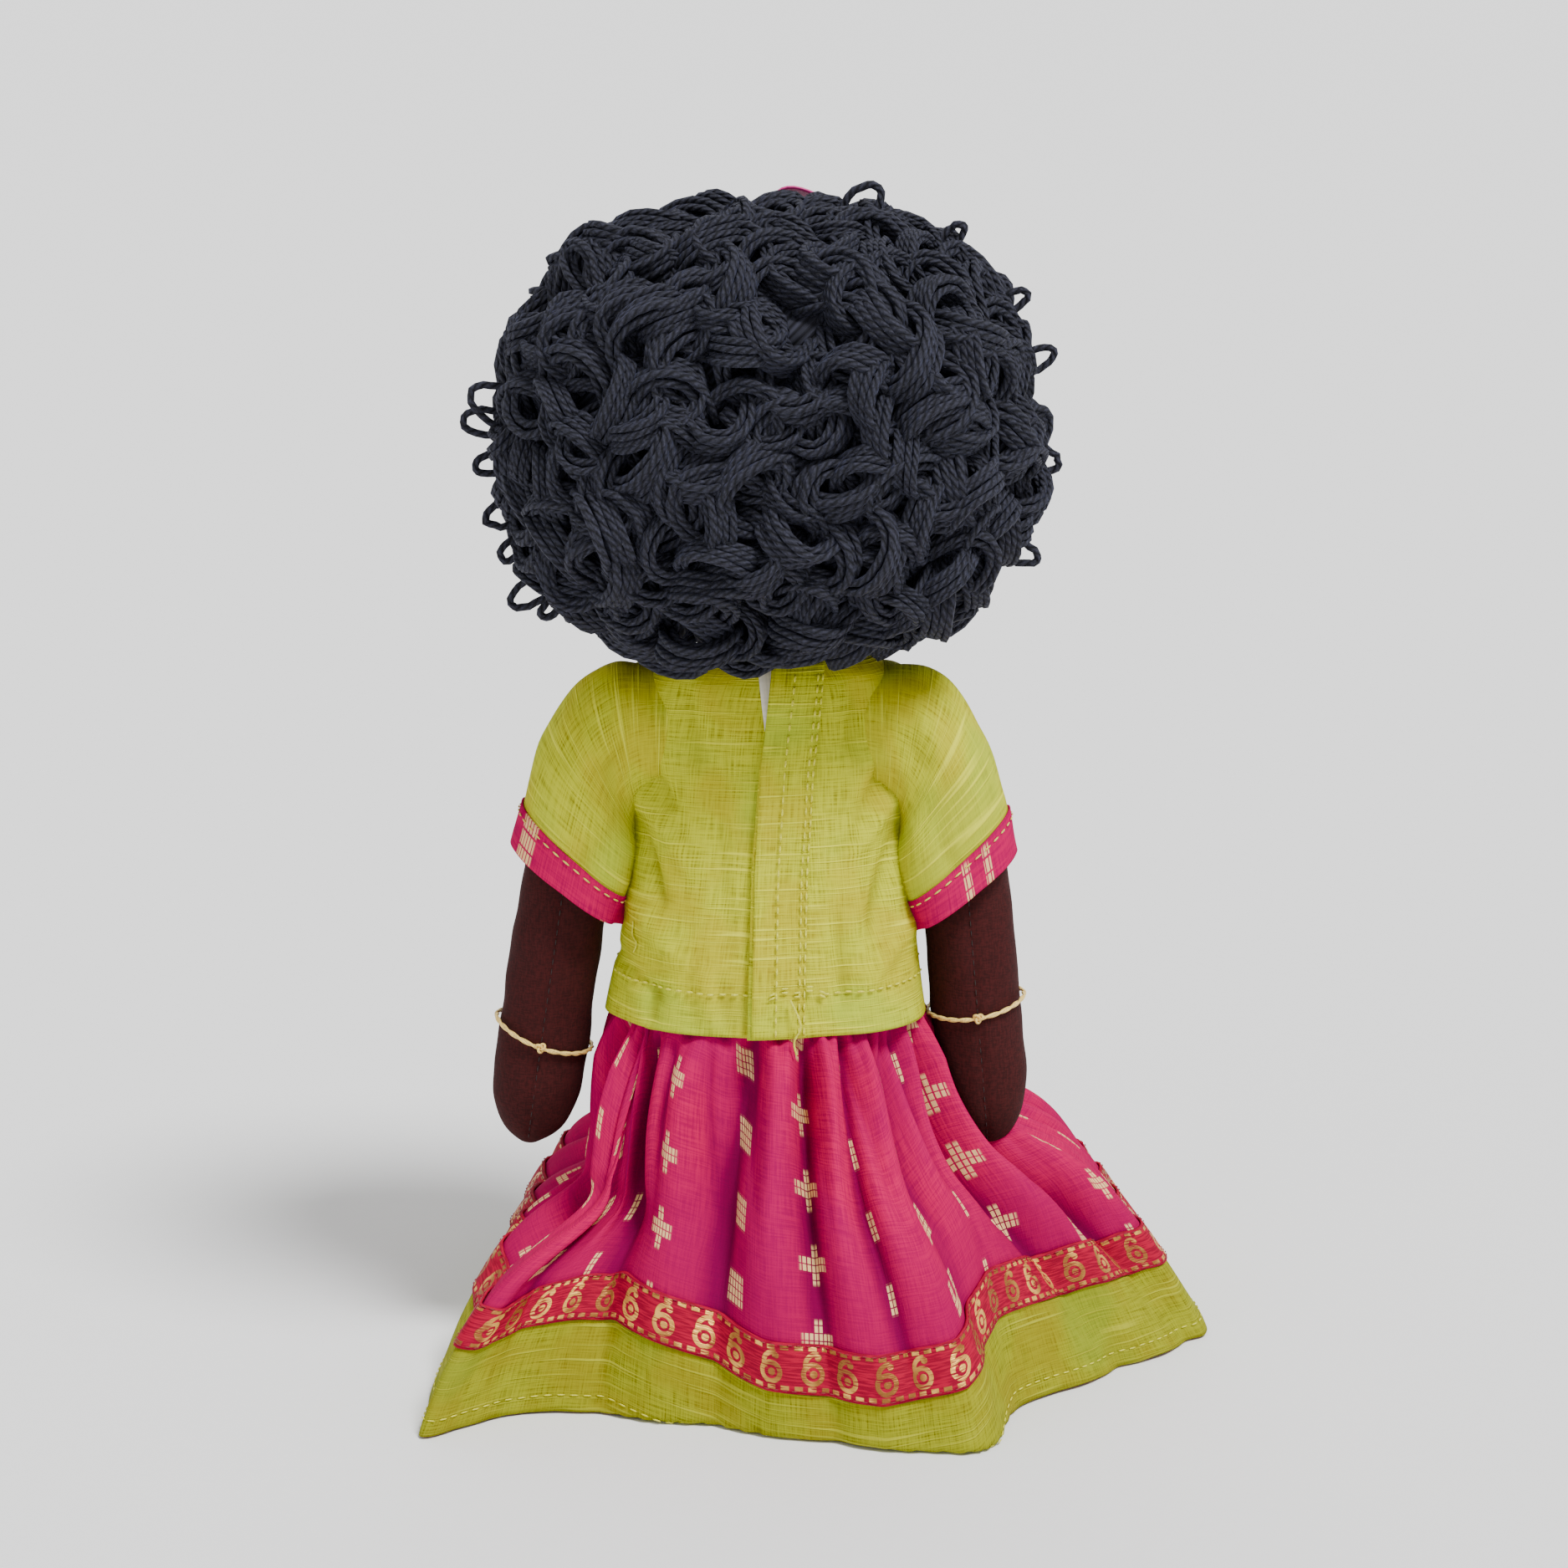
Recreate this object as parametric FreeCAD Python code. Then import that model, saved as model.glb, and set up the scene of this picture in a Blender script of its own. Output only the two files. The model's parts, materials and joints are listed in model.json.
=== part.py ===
"""A seated cloth doll: stuffed cotton body, yarn hair, blouse, gathered skirt and thread bangles.

Millimetres. +Z is up, the doll faces -Y and its own left side is +X. The origin is on the surface
that the doll sits on, in the middle of its seat.
"""
import math
import os

from FreeCAD import Matrix, Vector
import Part

# cloth
SKIN = 0.8              # sewn cotton of the body
CLOTH = 1.0             # blouse and skirt cloth
TRIM = 0.8              # tape, binding and lining
LAYER = 0.05            # air between two sewn layers
FREE = 0.4              # air between pieces that move past each other

# head
HEAD_RADII = (50.0, 46.0, 56.0)
HEAD_CENTRE = Vector(0, 0, 249)
HAIR_RADII = (70.5, 61.0, 61.0)
HAIR_CENTRE = Vector(0, 3, 247)
FACE_HALF_WIDTH = 36.0
FACE_HALF_HEIGHT = 40.0
FACE_Z = 238.0
FACE_OPENING_Y = -8.0
HAIR_NECK_RADIUS = 32.0
HAIR_NECK_Z = 215.0
EYE_X = 17.0
EYE_Z = 250.0
EYE = (6.0, 4.0)
MOUTH_Z = 226.0
MOUTH = (8.0, 2.6)
DOT_Z = 268.0
DOT = (2.5, 2.5)
BOW_CENTRE = Vector(-20, -30, 301)
BOW_LOOP = (11.0, 4.0, 6.5)
BOW_KNOT = 3.6
BOW_TAILS = (18.0, 1.2, 14.0)
BOW_TAILS_TILT = -48.0

# neck
NECK_RADIUS = 10.5
NECK_BALL = 11.0
NOD_Z = 193.0
NECK_SEAT_Z = 178.3

# trunk sections: height, middle in Y, half width, half depth
TRUNK = [
    (0.0, 8.0, 34.0, 24.0),
    (22.0, 5.0, 37.0, 28.0),
    (50.0, 2.0, 36.0, 28.0),
    (93.0, 0.0, 33.0, 27.0),
    (130.0, 0.0, 30.5, 24.0),
    (152.0, 0.0, 31.0, 21.5),
    (166.0, 0.0, 31.5, 18.0),
    (173.0, 0.0, 29.0, 15.0),
    (NECK_SEAT_Z, 0.0, 14.0, 12.0),
]

# blouse sections: height, half width, half depth
BLOUSE = [
    (93.0, 41.0, 35.0),
    (120.0, 36.4, 29.5),
    (145.0, 34.8, 25.5),
    (163.0, 35.6, 22.5),
    (174.0, 34.8, 18.5),
    (180.0, 27.0, 16.8),
    (184.0, 17.5, 15.5),
]
NECKLINE = (15.5, 13.6)
NECK_BINDING_Z = (180.5, 186.5)
PLACKET_SEAM_X = -4.0
FLAP_FROM_X = -14.0
FLAP_TO_X = 2.0
CLOSURE_Z = (148.0, 176.0)
CLOSURE_WIDTH = 5.5
CLOSURE_LAYER = (0.35, 1.0)      # out from the blouse's own outside
FLAP_LAYER = (1.4, 2.3)

# arms, sleeves and bangles
SHOULDER_X = 37.0
SHOULDER_Z = 160.0
ARM_TOP_X = 49.5
ARM_TOP_Z = 156.0
ARM_TOP_RADIUS = 10.0
HAND_RADIUS = 12.0
ARM_LENGTH = 87.0
ARM_LEAN = {"left": 8.5, "right": 5.0}
# the sleeve's middle in X and Z, degrees down from facing straight out, radius in height and depth
SLEEVE = [
    (37.2, 160.0, 0.0, 16.8, 16.4),
    (42.5, 159.0, 10.0, 17.6, 16.8),
    (47.0, 153.5, 25.0, 18.6, 17.2),
    (49.5, 145.5, 42.0, 18.2, 17.0),
]
CUFF_END = (54.0, 131.0)
CUFF_WIDTH = 5.3
CUFF_TILT = 55.0
CUFF = (17.0, 16.5)
BANGLE_AT = {"left": 68.0, "right": 60.0}
BANGLE_WIRE = 0.55
BANGLE_KNOT = 1.4
BANGLE_GAP = 0.3

# hips and legs
HIP_Y = -20.0
HIP_Z = 15.0
HIP_CORD_RADIUS = 2.2
HIP_HALF_LENGTH = 32.0
LEG_X = 19.0
LEG_DROP = 17.5         # from the fold line to the middle of the leg's round top
LEG_RADIUS = 14.5
ANKLE_RADIUS = 10.5
LEG_LENGTH = 56.0
LEG_SPREAD = {"left": 15.0, "right": 25.0}
FOOT_RADII = (12.5, 10.5, 12.8)
FOOT_RISE = 1.5
GROUND_GAP = 0.3

# skirt
WAIST_Z = 92.4
WAIST = (40.0, 34.0)
BAND_TOP_Z = 102.0
ELASTIC_INSET = 2.0
BAND = (37.0, 30.5)
HEM_BAND_Z = 20.0
TAPE_Z = (20.6, 32.0)
LINING_Z = (1.0, 15.0)
# the hem on the ground, X and Y, going round from the doll's left through the back
HEM = [
    (88, -5), (90, 35), (87, 70), (49, 52), (25, 55), (-7, 68), (-38, 77), (-57, 78), (-70, 44),
    (-88, 25), (-119, -9), (-114, -55), (-98, -104), (-45, -115), (10, -115), (62, -108), (86, -56),
]
# height, and how far out towards the hem the skirt is at the sides, the back and the front
SKIRT = [
    (WAIST_Z, 0.00, 0.00, 0.00),
    (60.0, 0.03, 0.28, 0.62),
    (50.0, 0.30, 0.42, 0.78),
    (36.0, 0.62, 0.58, 0.93),
    (12.0, 0.92, 0.88, 1.00),
    (0.0, 1.00, 1.00, 1.00),
]

SIDES = {"left": 1, "right": -1}
BIG = 400.0


def write(name, shape):
    solid = shape.removeSplitter()
    count = len(solid.Solids)
    if count != 1 or not solid.isValid():
        raise RuntimeError(f"{name}: {count} solids, valid {solid.isValid()}")
    solid.Solids[0].exportStep(f"parts/{name}.step")
    print(f"{name}: {solid.Volume:.0f} mm3")


def box(x, y, z):
    low = Vector(x[0], y[0], z[0])
    return Part.makeBox(x[1] - x[0], y[1] - y[0], z[1] - z[0], low)


def slab(low, high):
    return box((-BIG, BIG), (-BIG, BIG), (low, high))


def ring(points):
    curve = Part.BSplineCurve()
    curve.interpolate(points, PeriodicFlag=True)
    return Part.Wire(curve.toShape())


def oval(centre, across, along, rx, ry, count=12):
    """A closed curve round a centre, rx along one direction and ry along the other."""
    points = []
    for i in range(count):
        turn = 2 * math.pi * i / count
        points.append(centre + across * (rx * math.cos(turn)) + along * (ry * math.sin(turn)))
    return ring(points)


def level_oval(x, y, z, rx, ry):
    return oval(Vector(x, y, z), Vector(1, 0, 0), Vector(0, 1, 0), rx, ry)


def ellipsoid(centre, radii):
    unit = Part.makeSphere(1.0)
    scale = Matrix()
    scale.scale(Vector(*radii))
    shape = unit.transformGeometry(scale)
    shape.translate(centre)
    return shape


def grown(radii, by):
    return tuple(r + by for r in radii)


def capsule(top_radius, end_radius, length):
    """A stuffed tube hanging down from the origin, round at both ends."""
    start = Vector(0, 0, top_radius)
    top_side = Vector(top_radius, 0, 0)
    end_side = Vector(end_radius, 0, -length)
    tip = Vector(0, 0, -length - end_radius)
    slope = math.sqrt(0.5)
    top_mid = Vector(top_radius * slope, 0, top_radius * slope)
    end_mid = Vector(end_radius * slope, 0, -length - end_radius * slope)
    edges = [
        Part.Arc(start, top_mid, top_side).toShape(),
        Part.makeLine(top_side, end_side),
        Part.Arc(end_side, end_mid, tip).toShape(),
        Part.makeLine(tip, start),
    ]
    face = Part.Face(Part.Wire(edges))
    return face.revolve(Vector(0, 0, 0), Vector(0, 0, 1), 360)


# head

def forward_prism(x, y, z, rx, rz):
    """An oval seen from the front, drawn out forward from y."""
    outline = oval(Vector(x, y, z), Vector(1, 0, 0), Vector(0, 0, 1), rx, rz)
    return Part.Face(outline).extrude(Vector(0, -BIG, 0))


def face_opening():
    return forward_prism(0, FACE_OPENING_Y, FACE_Z, FACE_HALF_WIDTH, FACE_HALF_HEIGHT)


def make_head():
    socket = Part.makeSphere(NECK_BALL + FREE, Vector(0, 0, NOD_Z))
    skin_socket = Part.makeSphere(NECK_BALL + FREE + SKIN, Vector(0, 0, NOD_Z))
    outside = ellipsoid(HEAD_CENTRE, HEAD_RADII).cut(socket)
    stuffing = ellipsoid(HEAD_CENTRE, grown(HEAD_RADII, -SKIN)).cut(skin_socket)
    write("head_skin", outside.cut(stuffing))
    write("head_stuffing", stuffing)


def on_face(x, z, radii):
    """A thin embroidered patch that follows the face."""
    prism = forward_prism(x, FACE_OPENING_Y, z, *radii)
    outside = ellipsoid(HEAD_CENTRE, grown(HEAD_RADII, TRIM))
    inside = ellipsoid(HEAD_CENTRE, grown(HEAD_RADII, LAYER))
    return outside.cut(inside).common(prism)


def make_face():
    write("eye_left", on_face(EYE_X, EYE_Z, EYE))
    write("eye_right", on_face(-EYE_X, EYE_Z, EYE))
    write("mouth", on_face(0, MOUTH_Z, MOUTH))
    write("forehead_dot", on_face(0, DOT_Z, DOT))


def neck_opening():
    return Part.makeCylinder(HAIR_NECK_RADIUS, HAIR_NECK_Z, Vector(0, -2, 0))


def open_for_face_and_neck(shape):
    return shape.cut(face_opening()).cut(neck_opening())


def make_hair():
    head = ellipsoid(HEAD_CENTRE, grown(HEAD_RADII, LAYER))
    cap = ellipsoid(HEAD_CENTRE, grown(HEAD_RADII, TRIM + LAYER))
    under_hair = ellipsoid(HEAD_CENTRE, grown(HEAD_RADII, TRIM + 2 * LAYER))
    hair = ellipsoid(HAIR_CENTRE, HAIR_RADII)
    write("hair_cap", open_for_face_and_neck(cap.cut(head)))
    write("hair", open_for_face_and_neck(hair.cut(under_hair)))


def make_bow():
    hair = ellipsoid(HAIR_CENTRE, grown(HAIR_RADII, LAYER))
    room = Part.makeSphere(BOW_KNOT + LAYER, BOW_CENTRE)
    write("bow_knot", Part.makeSphere(BOW_KNOT, BOW_CENTRE).cut(hair))
    reach = Vector(BOW_LOOP[0] + BOW_KNOT / 2, 0, 0)
    loop_left = ellipsoid(BOW_CENTRE + reach, BOW_LOOP).cut(room)
    loop_right = loop_left.mirror(BOW_CENTRE, Vector(1, 0, 0))
    write("bow_loop_left", loop_left.cut(hair))
    write("bow_loop_right", loop_right.cut(hair))
    low = BOW_CENTRE + Vector(-BOW_TAILS[0] / 2, -3, -BOW_TAILS[2] - 2)
    tails = Part.makeBox(*BOW_TAILS, low)
    tails.rotate(BOW_CENTRE, Vector(1, 0, 0), BOW_TAILS_TILT)
    write("bow_tails", tails.cut([hair, room, loop_left, loop_right]))


# neck

def neck_solid(grow):
    height = NOD_Z - NECK_SEAT_Z + grow
    post = Part.makeCylinder(NECK_RADIUS + grow, height, Vector(0, 0, NECK_SEAT_Z + FREE - grow))
    ball = Part.makeSphere(NECK_BALL + grow, Vector(0, 0, NOD_Z))
    return post.fuse(ball.cut(slab(-BIG, NOD_Z - 3)))


def make_neck():
    outside = neck_solid(0)
    stuffing = neck_solid(-SKIN)
    write("neck_skin", outside.cut(stuffing))
    write("neck_stuffing", stuffing)


# trunk

def trunk_loft(grow):
    wires = []
    for z, y, half_width, half_depth in TRUNK:
        wires.append(level_oval(0, y, z, half_width + grow, half_depth + grow))
    return Part.makeLoft(wires, True, False)


def leg_room(grow):
    """The corner under the lap that the legs turn through, with the fold line at its inner edge."""
    reach = LEG_RADIUS + FREE + 0.3 + grow
    front = box((-BIG, BIG), (-BIG, HIP_Y + grow), (-BIG, HIP_Z + reach))
    under = box((-BIG, BIG), (HIP_Y - 1, HIP_Y + reach), (-BIG, HIP_Z + grow))
    start = Vector(-BIG, HIP_Y, HIP_Z)
    line = Part.makeCylinder(HIP_CORD_RADIUS + FREE + grow, 2 * BIG, start, Vector(1, 0, 0))
    return front.fuse([under, line])


def make_trunk():
    outside = trunk_loft(0).cut(leg_room(0))
    top_of_filling = slab(SKIN, NECK_SEAT_Z - SKIN)
    stuffing = trunk_loft(-SKIN).cut(leg_room(SKIN)).common(top_of_filling)
    write("trunk_skin", outside.cut(stuffing))
    write("trunk_stuffing", stuffing)


# blouse

def blouse_loft(grow):
    wires = []
    for z, half_width, half_depth in BLOUSE:
        wires.append(level_oval(0, 0, z, half_width + grow, half_depth + grow))
    return Part.makeLoft(wires, True, False)


def neckline(grow):
    wire = level_oval(0, 0, 160, NECKLINE[0] + grow, NECKLINE[1] + grow)
    return Part.Face(wire).extrude(Vector(0, 0, 60))


def blouse_layer(inner, outer):
    """A layer of cloth between two distances out from the blouse's own outside."""
    outside = blouse_loft(outer)
    inside = blouse_loft(inner)
    inside.translate(Vector(0, 0, -0.7))
    return outside.cut(inside).cut(neckline(0))


def make_blouse():
    cloth = blouse_layer(-CLOTH, 0)
    seam = LAYER / 2
    front = box((-BIG, BIG), (-BIG, -seam), (0, BIG))
    back_left = box((PLACKET_SEAM_X + seam, BIG), (seam, BIG), (0, BIG))
    back_right = box((-BIG, PLACKET_SEAM_X - seam), (seam, BIG), (0, BIG))
    write("blouse_front", cloth.common(front))
    write("blouse_back_left", cloth.common(back_left))
    write("blouse_back_right", cloth.common(back_right))


def make_placket():
    flap_area = box((FLAP_FROM_X, FLAP_TO_X), (1, BIG), (BLOUSE[0][0] + 0.3, 176))
    flap = blouse_layer(*FLAP_LAYER).common(flap_area)
    write("placket_flap", flap)
    closure = blouse_layer(*CLOSURE_LAYER)
    middle = FLAP_TO_X - CLOSURE_WIDTH / 2
    loop_area = box((middle + LAYER, middle + CLOSURE_WIDTH), (1, BIG), CLOSURE_Z)
    hook_area = box((middle - CLOSURE_WIDTH, middle - LAYER), (1, BIG), CLOSURE_Z)
    write("loop_strip", closure.common(loop_area))
    write("hook_strip", closure.common(hook_area))


def make_neck_binding():
    outside = neckline(-LAYER)
    inside = neckline(-LAYER - CLOTH)
    write("neck_binding", outside.cut(inside).common(slab(*NECK_BINDING_Z)))


# arms

def side_vector(sign, x, z):
    return Vector(sign * x, 0, z)


def sleeve_section(sign, x, z, tilt, radius, depth):
    """A round section of the sleeve, tilted down by some degrees from facing straight out."""
    angle = math.radians(tilt)
    up_the_section = Vector(sign * math.sin(angle), 0, math.cos(angle))
    return oval(side_vector(sign, x, z), up_the_section, Vector(0, 1, 0), radius, depth)


def cuff_place(back):
    """The middle of the sleeve, some way back up from its open end."""
    angle = math.radians(CUFF_TILT)
    return CUFF_END[0] - back * math.cos(angle), CUFF_END[1] + back * math.sin(angle)


def cuff_section(sign, back, grow):
    x, z = cuff_place(back)
    return sleeve_section(sign, x, z, CUFF_TILT, CUFF[0] + grow, CUFF[1] + grow)


def sleeve_solid(sign, grow):
    wires = [sleeve_section(sign, x, z, tilt, rx + grow, ry + grow) for x, z, tilt, rx, ry in SLEEVE]
    wires.append(cuff_section(sign, CUFF_WIDTH + LAYER, grow))
    return Part.makeLoft(wires, True, True)


def cuff_solid(sign, grow):
    start = cuff_place(CUFF_WIDTH)
    along = side_vector(sign, CUFF_END[0] - start[0], CUFF_END[1] - start[1])
    return Part.Face(cuff_section(sign, CUFF_WIDTH, grow)).extrude(along)


def hang_arm(shape, side):
    """Places a shape made hanging down from the origin where the arm hangs."""
    sign = SIDES[side]
    shape.rotate(Vector(0, 0, 0), Vector(0, 1, 0), -sign * ARM_LEAN[side])
    shape.translate(side_vector(sign, ARM_TOP_X, ARM_TOP_Z))
    return shape


def make_arm(side):
    sign = SIDES[side]
    outside = hang_arm(capsule(ARM_TOP_RADIUS, HAND_RADIUS, ARM_LENGTH), side)
    stuffing = hang_arm(capsule(ARM_TOP_RADIUS - SKIN, HAND_RADIUS - SKIN, ARM_LENGTH), side)
    write(f"arm_{side}_skin", outside.cut(stuffing))
    write(f"arm_{side}_stuffing", stuffing)
    write(f"sleeve_{side}", sleeve_solid(sign, 0).cut(sleeve_solid(sign, -CLOTH)))
    write(f"cuff_{side}", cuff_solid(sign, 0.2).cut(cuff_solid(sign, -CLOTH)))


def make_bangle(side):
    """Two thin rings of thread side by side, closed with a small knot."""
    ring_radius = HAND_RADIUS + BANGLE_GAP + BANGLE_WIRE
    upper = Part.makeTorus(ring_radius, BANGLE_WIRE, Vector(0, 0, BANGLE_WIRE * 0.8))
    lower = Part.makeTorus(ring_radius, BANGLE_WIRE, Vector(0, 0, -BANGLE_WIRE * 0.8))
    knot = Part.makeSphere(BANGLE_KNOT, Vector(0, ring_radius + BANGLE_KNOT - BANGLE_WIRE, 0))
    loop = upper.fuse([lower, knot])
    loop.translate(Vector(0, 0, -BANGLE_AT[side]))
    write(f"bangle_{side}", hang_arm(loop, side))


# legs

def leg_solid(side, grow):
    sign = SIDES[side]
    leg = capsule(LEG_RADIUS + grow, ANKLE_RADIUS + grow, LEG_LENGTH)
    leg.rotate(Vector(0, 0, 0), Vector(1, 0, 0), -90)
    toes = Vector(0, -LEG_LENGTH, FOOT_RISE)
    foot = ellipsoid(toes, grown(FOOT_RADII, grow))
    whole = leg.fuse(foot)
    whole.rotate(Vector(0, 0, 0), Vector(0, 0, 1), sign * LEG_SPREAD[side])
    whole.translate(Vector(sign * LEG_X, HIP_Y - LEG_DROP, HIP_Z))
    return whole


def make_legs():
    for side in SIDES:
        outside = leg_solid(side, 0).common(slab(GROUND_GAP, BIG))
        stuffing = leg_solid(side, -SKIN).common(slab(GROUND_GAP + SKIN, BIG))
        write(f"leg_{side}_skin", outside.cut(stuffing))
        write(f"leg_{side}_stuffing", stuffing)
    start = Vector(-HIP_HALF_LENGTH, HIP_Y, HIP_Z)
    length = 2 * HIP_HALF_LENGTH
    write("hip_seam", Part.makeCylinder(HIP_CORD_RADIUS, length, start, Vector(1, 0, 0)))


# skirt

def skirt_point(hem, level, grow):
    z, at_side, at_back, at_front = level
    turn = math.atan2(hem[1], hem[0])
    waist = Vector(WAIST[0] * math.cos(turn), WAIST[1] * math.sin(turn), z)
    towards_y = math.sin(turn) ** 4
    at_end = at_back if hem[1] > 0 else at_front
    out = at_side * (1 - towards_y) + at_end * towards_y
    flat = waist + (Vector(hem[0], hem[1], z) - waist) * out
    outward = Vector(math.cos(turn), math.sin(turn), 0)
    return flat + outward * grow


def skirt_loft(grow):
    wires = []
    for level in SKIRT:
        wires.append(ring([skirt_point(hem, level, grow) for hem in HEM]))
    return Part.makeLoft(wires, True, True)


def skirt_layer(inner, outer, low, high):
    return skirt_loft(outer).cut(skirt_loft(inner)).common(slab(low, high))


def oval_band(inner, outer, low, high):
    outside = Part.Face(level_oval(0, 0, low, BAND[0] + outer, BAND[1] + outer))
    inside = Part.Face(level_oval(0, 0, low, BAND[0] + inner, BAND[1] + inner))
    return outside.cut(inside).extrude(Vector(0, 0, high - low))


def make_skirt():
    write("skirt_panel", skirt_layer(-CLOTH, 0, HEM_BAND_Z, WAIST_Z))
    write("hem_band", skirt_layer(-CLOTH, 0, 0, HEM_BAND_Z - LAYER))
    write("border_tape", skirt_layer(LAYER, TRIM, TAPE_Z[0], TAPE_Z[1]))
    write("skirt_lining", skirt_layer(-CLOTH - LAYER - TRIM, -CLOTH - LAYER, LINING_Z[0], LINING_Z[1]))
    write("waistband", oval_band(-CLOTH, 0, WAIST_Z + LAYER, BAND_TOP_Z))
    elastic_z = (WAIST_Z + ELASTIC_INSET, BAND_TOP_Z - ELASTIC_INSET)
    write("waist_elastic", oval_band(-CLOTH - LAYER - TRIM, -CLOTH - LAYER, *elastic_z))


def main():
    os.makedirs("parts", exist_ok=True)
    make_head()
    make_face()
    make_hair()
    make_bow()
    make_neck()
    make_trunk()
    make_blouse()
    make_placket()
    make_neck_binding()
    make_legs()
    make_skirt()
    for side in SIDES:
        make_arm(side)
        make_bangle(side)


main()
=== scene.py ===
"""The looks of a seated cloth doll: stuffed cotton body, yarn hair, blouse, gathered skirt and bangles.

Tables, outlines and grids of points are in millimetres; properties and finished meshes are in metres.
"""

import json
import math

import bmesh
import bpy
import numpy as np
from mathutils import Matrix, Vector, noise

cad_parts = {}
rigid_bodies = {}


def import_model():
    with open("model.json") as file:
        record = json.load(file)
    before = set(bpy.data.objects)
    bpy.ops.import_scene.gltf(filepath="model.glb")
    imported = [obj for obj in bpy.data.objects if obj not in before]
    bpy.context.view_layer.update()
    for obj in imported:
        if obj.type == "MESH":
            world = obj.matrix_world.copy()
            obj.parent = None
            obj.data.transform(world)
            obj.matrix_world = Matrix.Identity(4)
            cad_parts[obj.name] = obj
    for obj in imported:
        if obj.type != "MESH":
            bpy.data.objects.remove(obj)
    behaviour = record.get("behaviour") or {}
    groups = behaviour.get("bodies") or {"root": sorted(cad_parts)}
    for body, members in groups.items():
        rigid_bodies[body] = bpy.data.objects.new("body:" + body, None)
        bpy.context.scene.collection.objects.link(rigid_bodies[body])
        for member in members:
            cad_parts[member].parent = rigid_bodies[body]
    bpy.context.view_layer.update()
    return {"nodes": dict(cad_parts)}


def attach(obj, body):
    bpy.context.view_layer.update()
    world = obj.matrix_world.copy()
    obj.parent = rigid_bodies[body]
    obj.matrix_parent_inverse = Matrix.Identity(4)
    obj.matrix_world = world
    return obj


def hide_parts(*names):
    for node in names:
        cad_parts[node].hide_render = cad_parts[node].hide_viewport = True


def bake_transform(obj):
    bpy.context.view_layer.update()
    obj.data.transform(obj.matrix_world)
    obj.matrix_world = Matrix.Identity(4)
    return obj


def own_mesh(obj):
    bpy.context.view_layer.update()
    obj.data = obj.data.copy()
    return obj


bl_info = {
    "name": "Seated cloth doll",
    "version": (1, 0, 0),
    "blender": (4, 5, 0),
    "location": "View3D > Sidebar > Doll",
    "description": "Makes a handmade cloth doll round its packed frame",
    "category": "Add Mesh",
}

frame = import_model()
MM = 0.001
SIDES = {"left": 1, "right": -1}
# thicknesses in metres of the cloths that don't follow the cloth setting
CAP_CLOTH = 0.001
BORDER_CLOTH = 0.0006
THIN_CLOTH = 0.0005


# ---------------------------------------------------------------- sizes and colours

def length(label, about, default):
    return bpy.props.FloatProperty(name=label, description=about, default=default, unit="LENGTH")


def tint(label, about, default):
    return bpy.props.FloatVectorProperty(name=label, description=about, default=default, subtype="COLOR")


class DollSizes(bpy.types.PropertyGroup):
    yarn: length("Yarn", "Thickness of a strand of hair yarn", 0.0021)
    skein_gap: length("Skein gap", "Least distance between two hair skeins", 0.0078)
    thread: length("Thread", "Thickness of sewing thread", 0.00062)
    stitch: length("Stitch", "Length of one stitch with its gap", 0.0031)
    tape_width: length("Tape width", "Width of the paisley border tape", 0.0127)
    band_depth: length("Band depth", "Depth of the green hem band", 0.0245)
    cloth: length("Cloth", "Thickness of the clothes", 0.0007)


class DollColours(bpy.types.PropertyGroup):
    hair: tint("Hair", "Colour of the yarn", (0.0068, 0.0070, 0.0112))
    body: tint("Body", "Colour of the body's cotton", (0.036, 0.0045, 0.0045))
    green: tint("Green", "Blouse cloth", (0.53, 0.55, 0.018))
    green_shade: tint("Green shade", "Blouse cloth between its threads", (0.34, 0.345, 0.008))
    magenta: tint("Magenta", "Skirt cloth", (0.58, 0.0, 0.085))
    magenta_shot: tint("Magenta shot", "The skirt's other thread", (0.36, 0.0, 0.070))
    tape: tint("Tape", "Ground of the border tape", (0.24, 0.0, 0.02))
    gold: tint("Gold", "Woven gold thread", (0.86, 0.58, 0.25))
    pink: tint("Pink", "Ribbon bow", (0.80, 0.035, 0.30))
    cream: tint("Cream", "Closure strip", (0.78, 0.72, 0.58))


def sizes():
    return bpy.context.scene.doll_sizes


def colours():
    return bpy.context.scene.doll_colours


# ---------------------------------------------------------------- curves and meshes

def circle(count):
    """Even turns in radians, once round."""
    return 2 * np.pi * np.arange(count) / count


def smooth_keys(keys, t):
    """Catmull-Rom through rows of numbers; t runs from 0 at the first row to 1 at the last."""
    keys = np.asarray(keys, float)
    t = np.clip(np.asarray(t, float), 0, 1) * (len(keys) - 1)
    i = np.minimum(t.astype(int), len(keys) - 2)
    f = (t - i)[..., None]
    before = keys[np.maximum(i - 1, 0)]
    start = keys[i]
    end = keys[i + 1]
    after = keys[np.minimum(i + 2, len(keys) - 1)]
    return 0.5 * (2 * start + (end - before) * f + (2 * before - 5 * start + 4 * end - after) * f ** 2
                  + (3 * start - before - 3 * end + after) * f ** 3)


def closed_curve(points, count):
    """Evenly spaced points on a smooth closed curve through the given ones."""
    points = np.asarray(points, float)
    around = np.vstack([points[-1], points, points[0], points[1]])
    span = len(around) - 1
    t = np.linspace(1, span - 1, 40 * len(points) + 1)
    fine = smooth_keys(around, t / span)
    step = np.r_[0, np.cumsum(np.linalg.norm(np.diff(fine, axis=0), axis=1))]
    want = np.linspace(0, step[-1], count, endpoint=False)
    return np.stack([np.interp(want, step, fine[:, k]) for k in range(fine.shape[1])], axis=1), step[-1]


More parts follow.
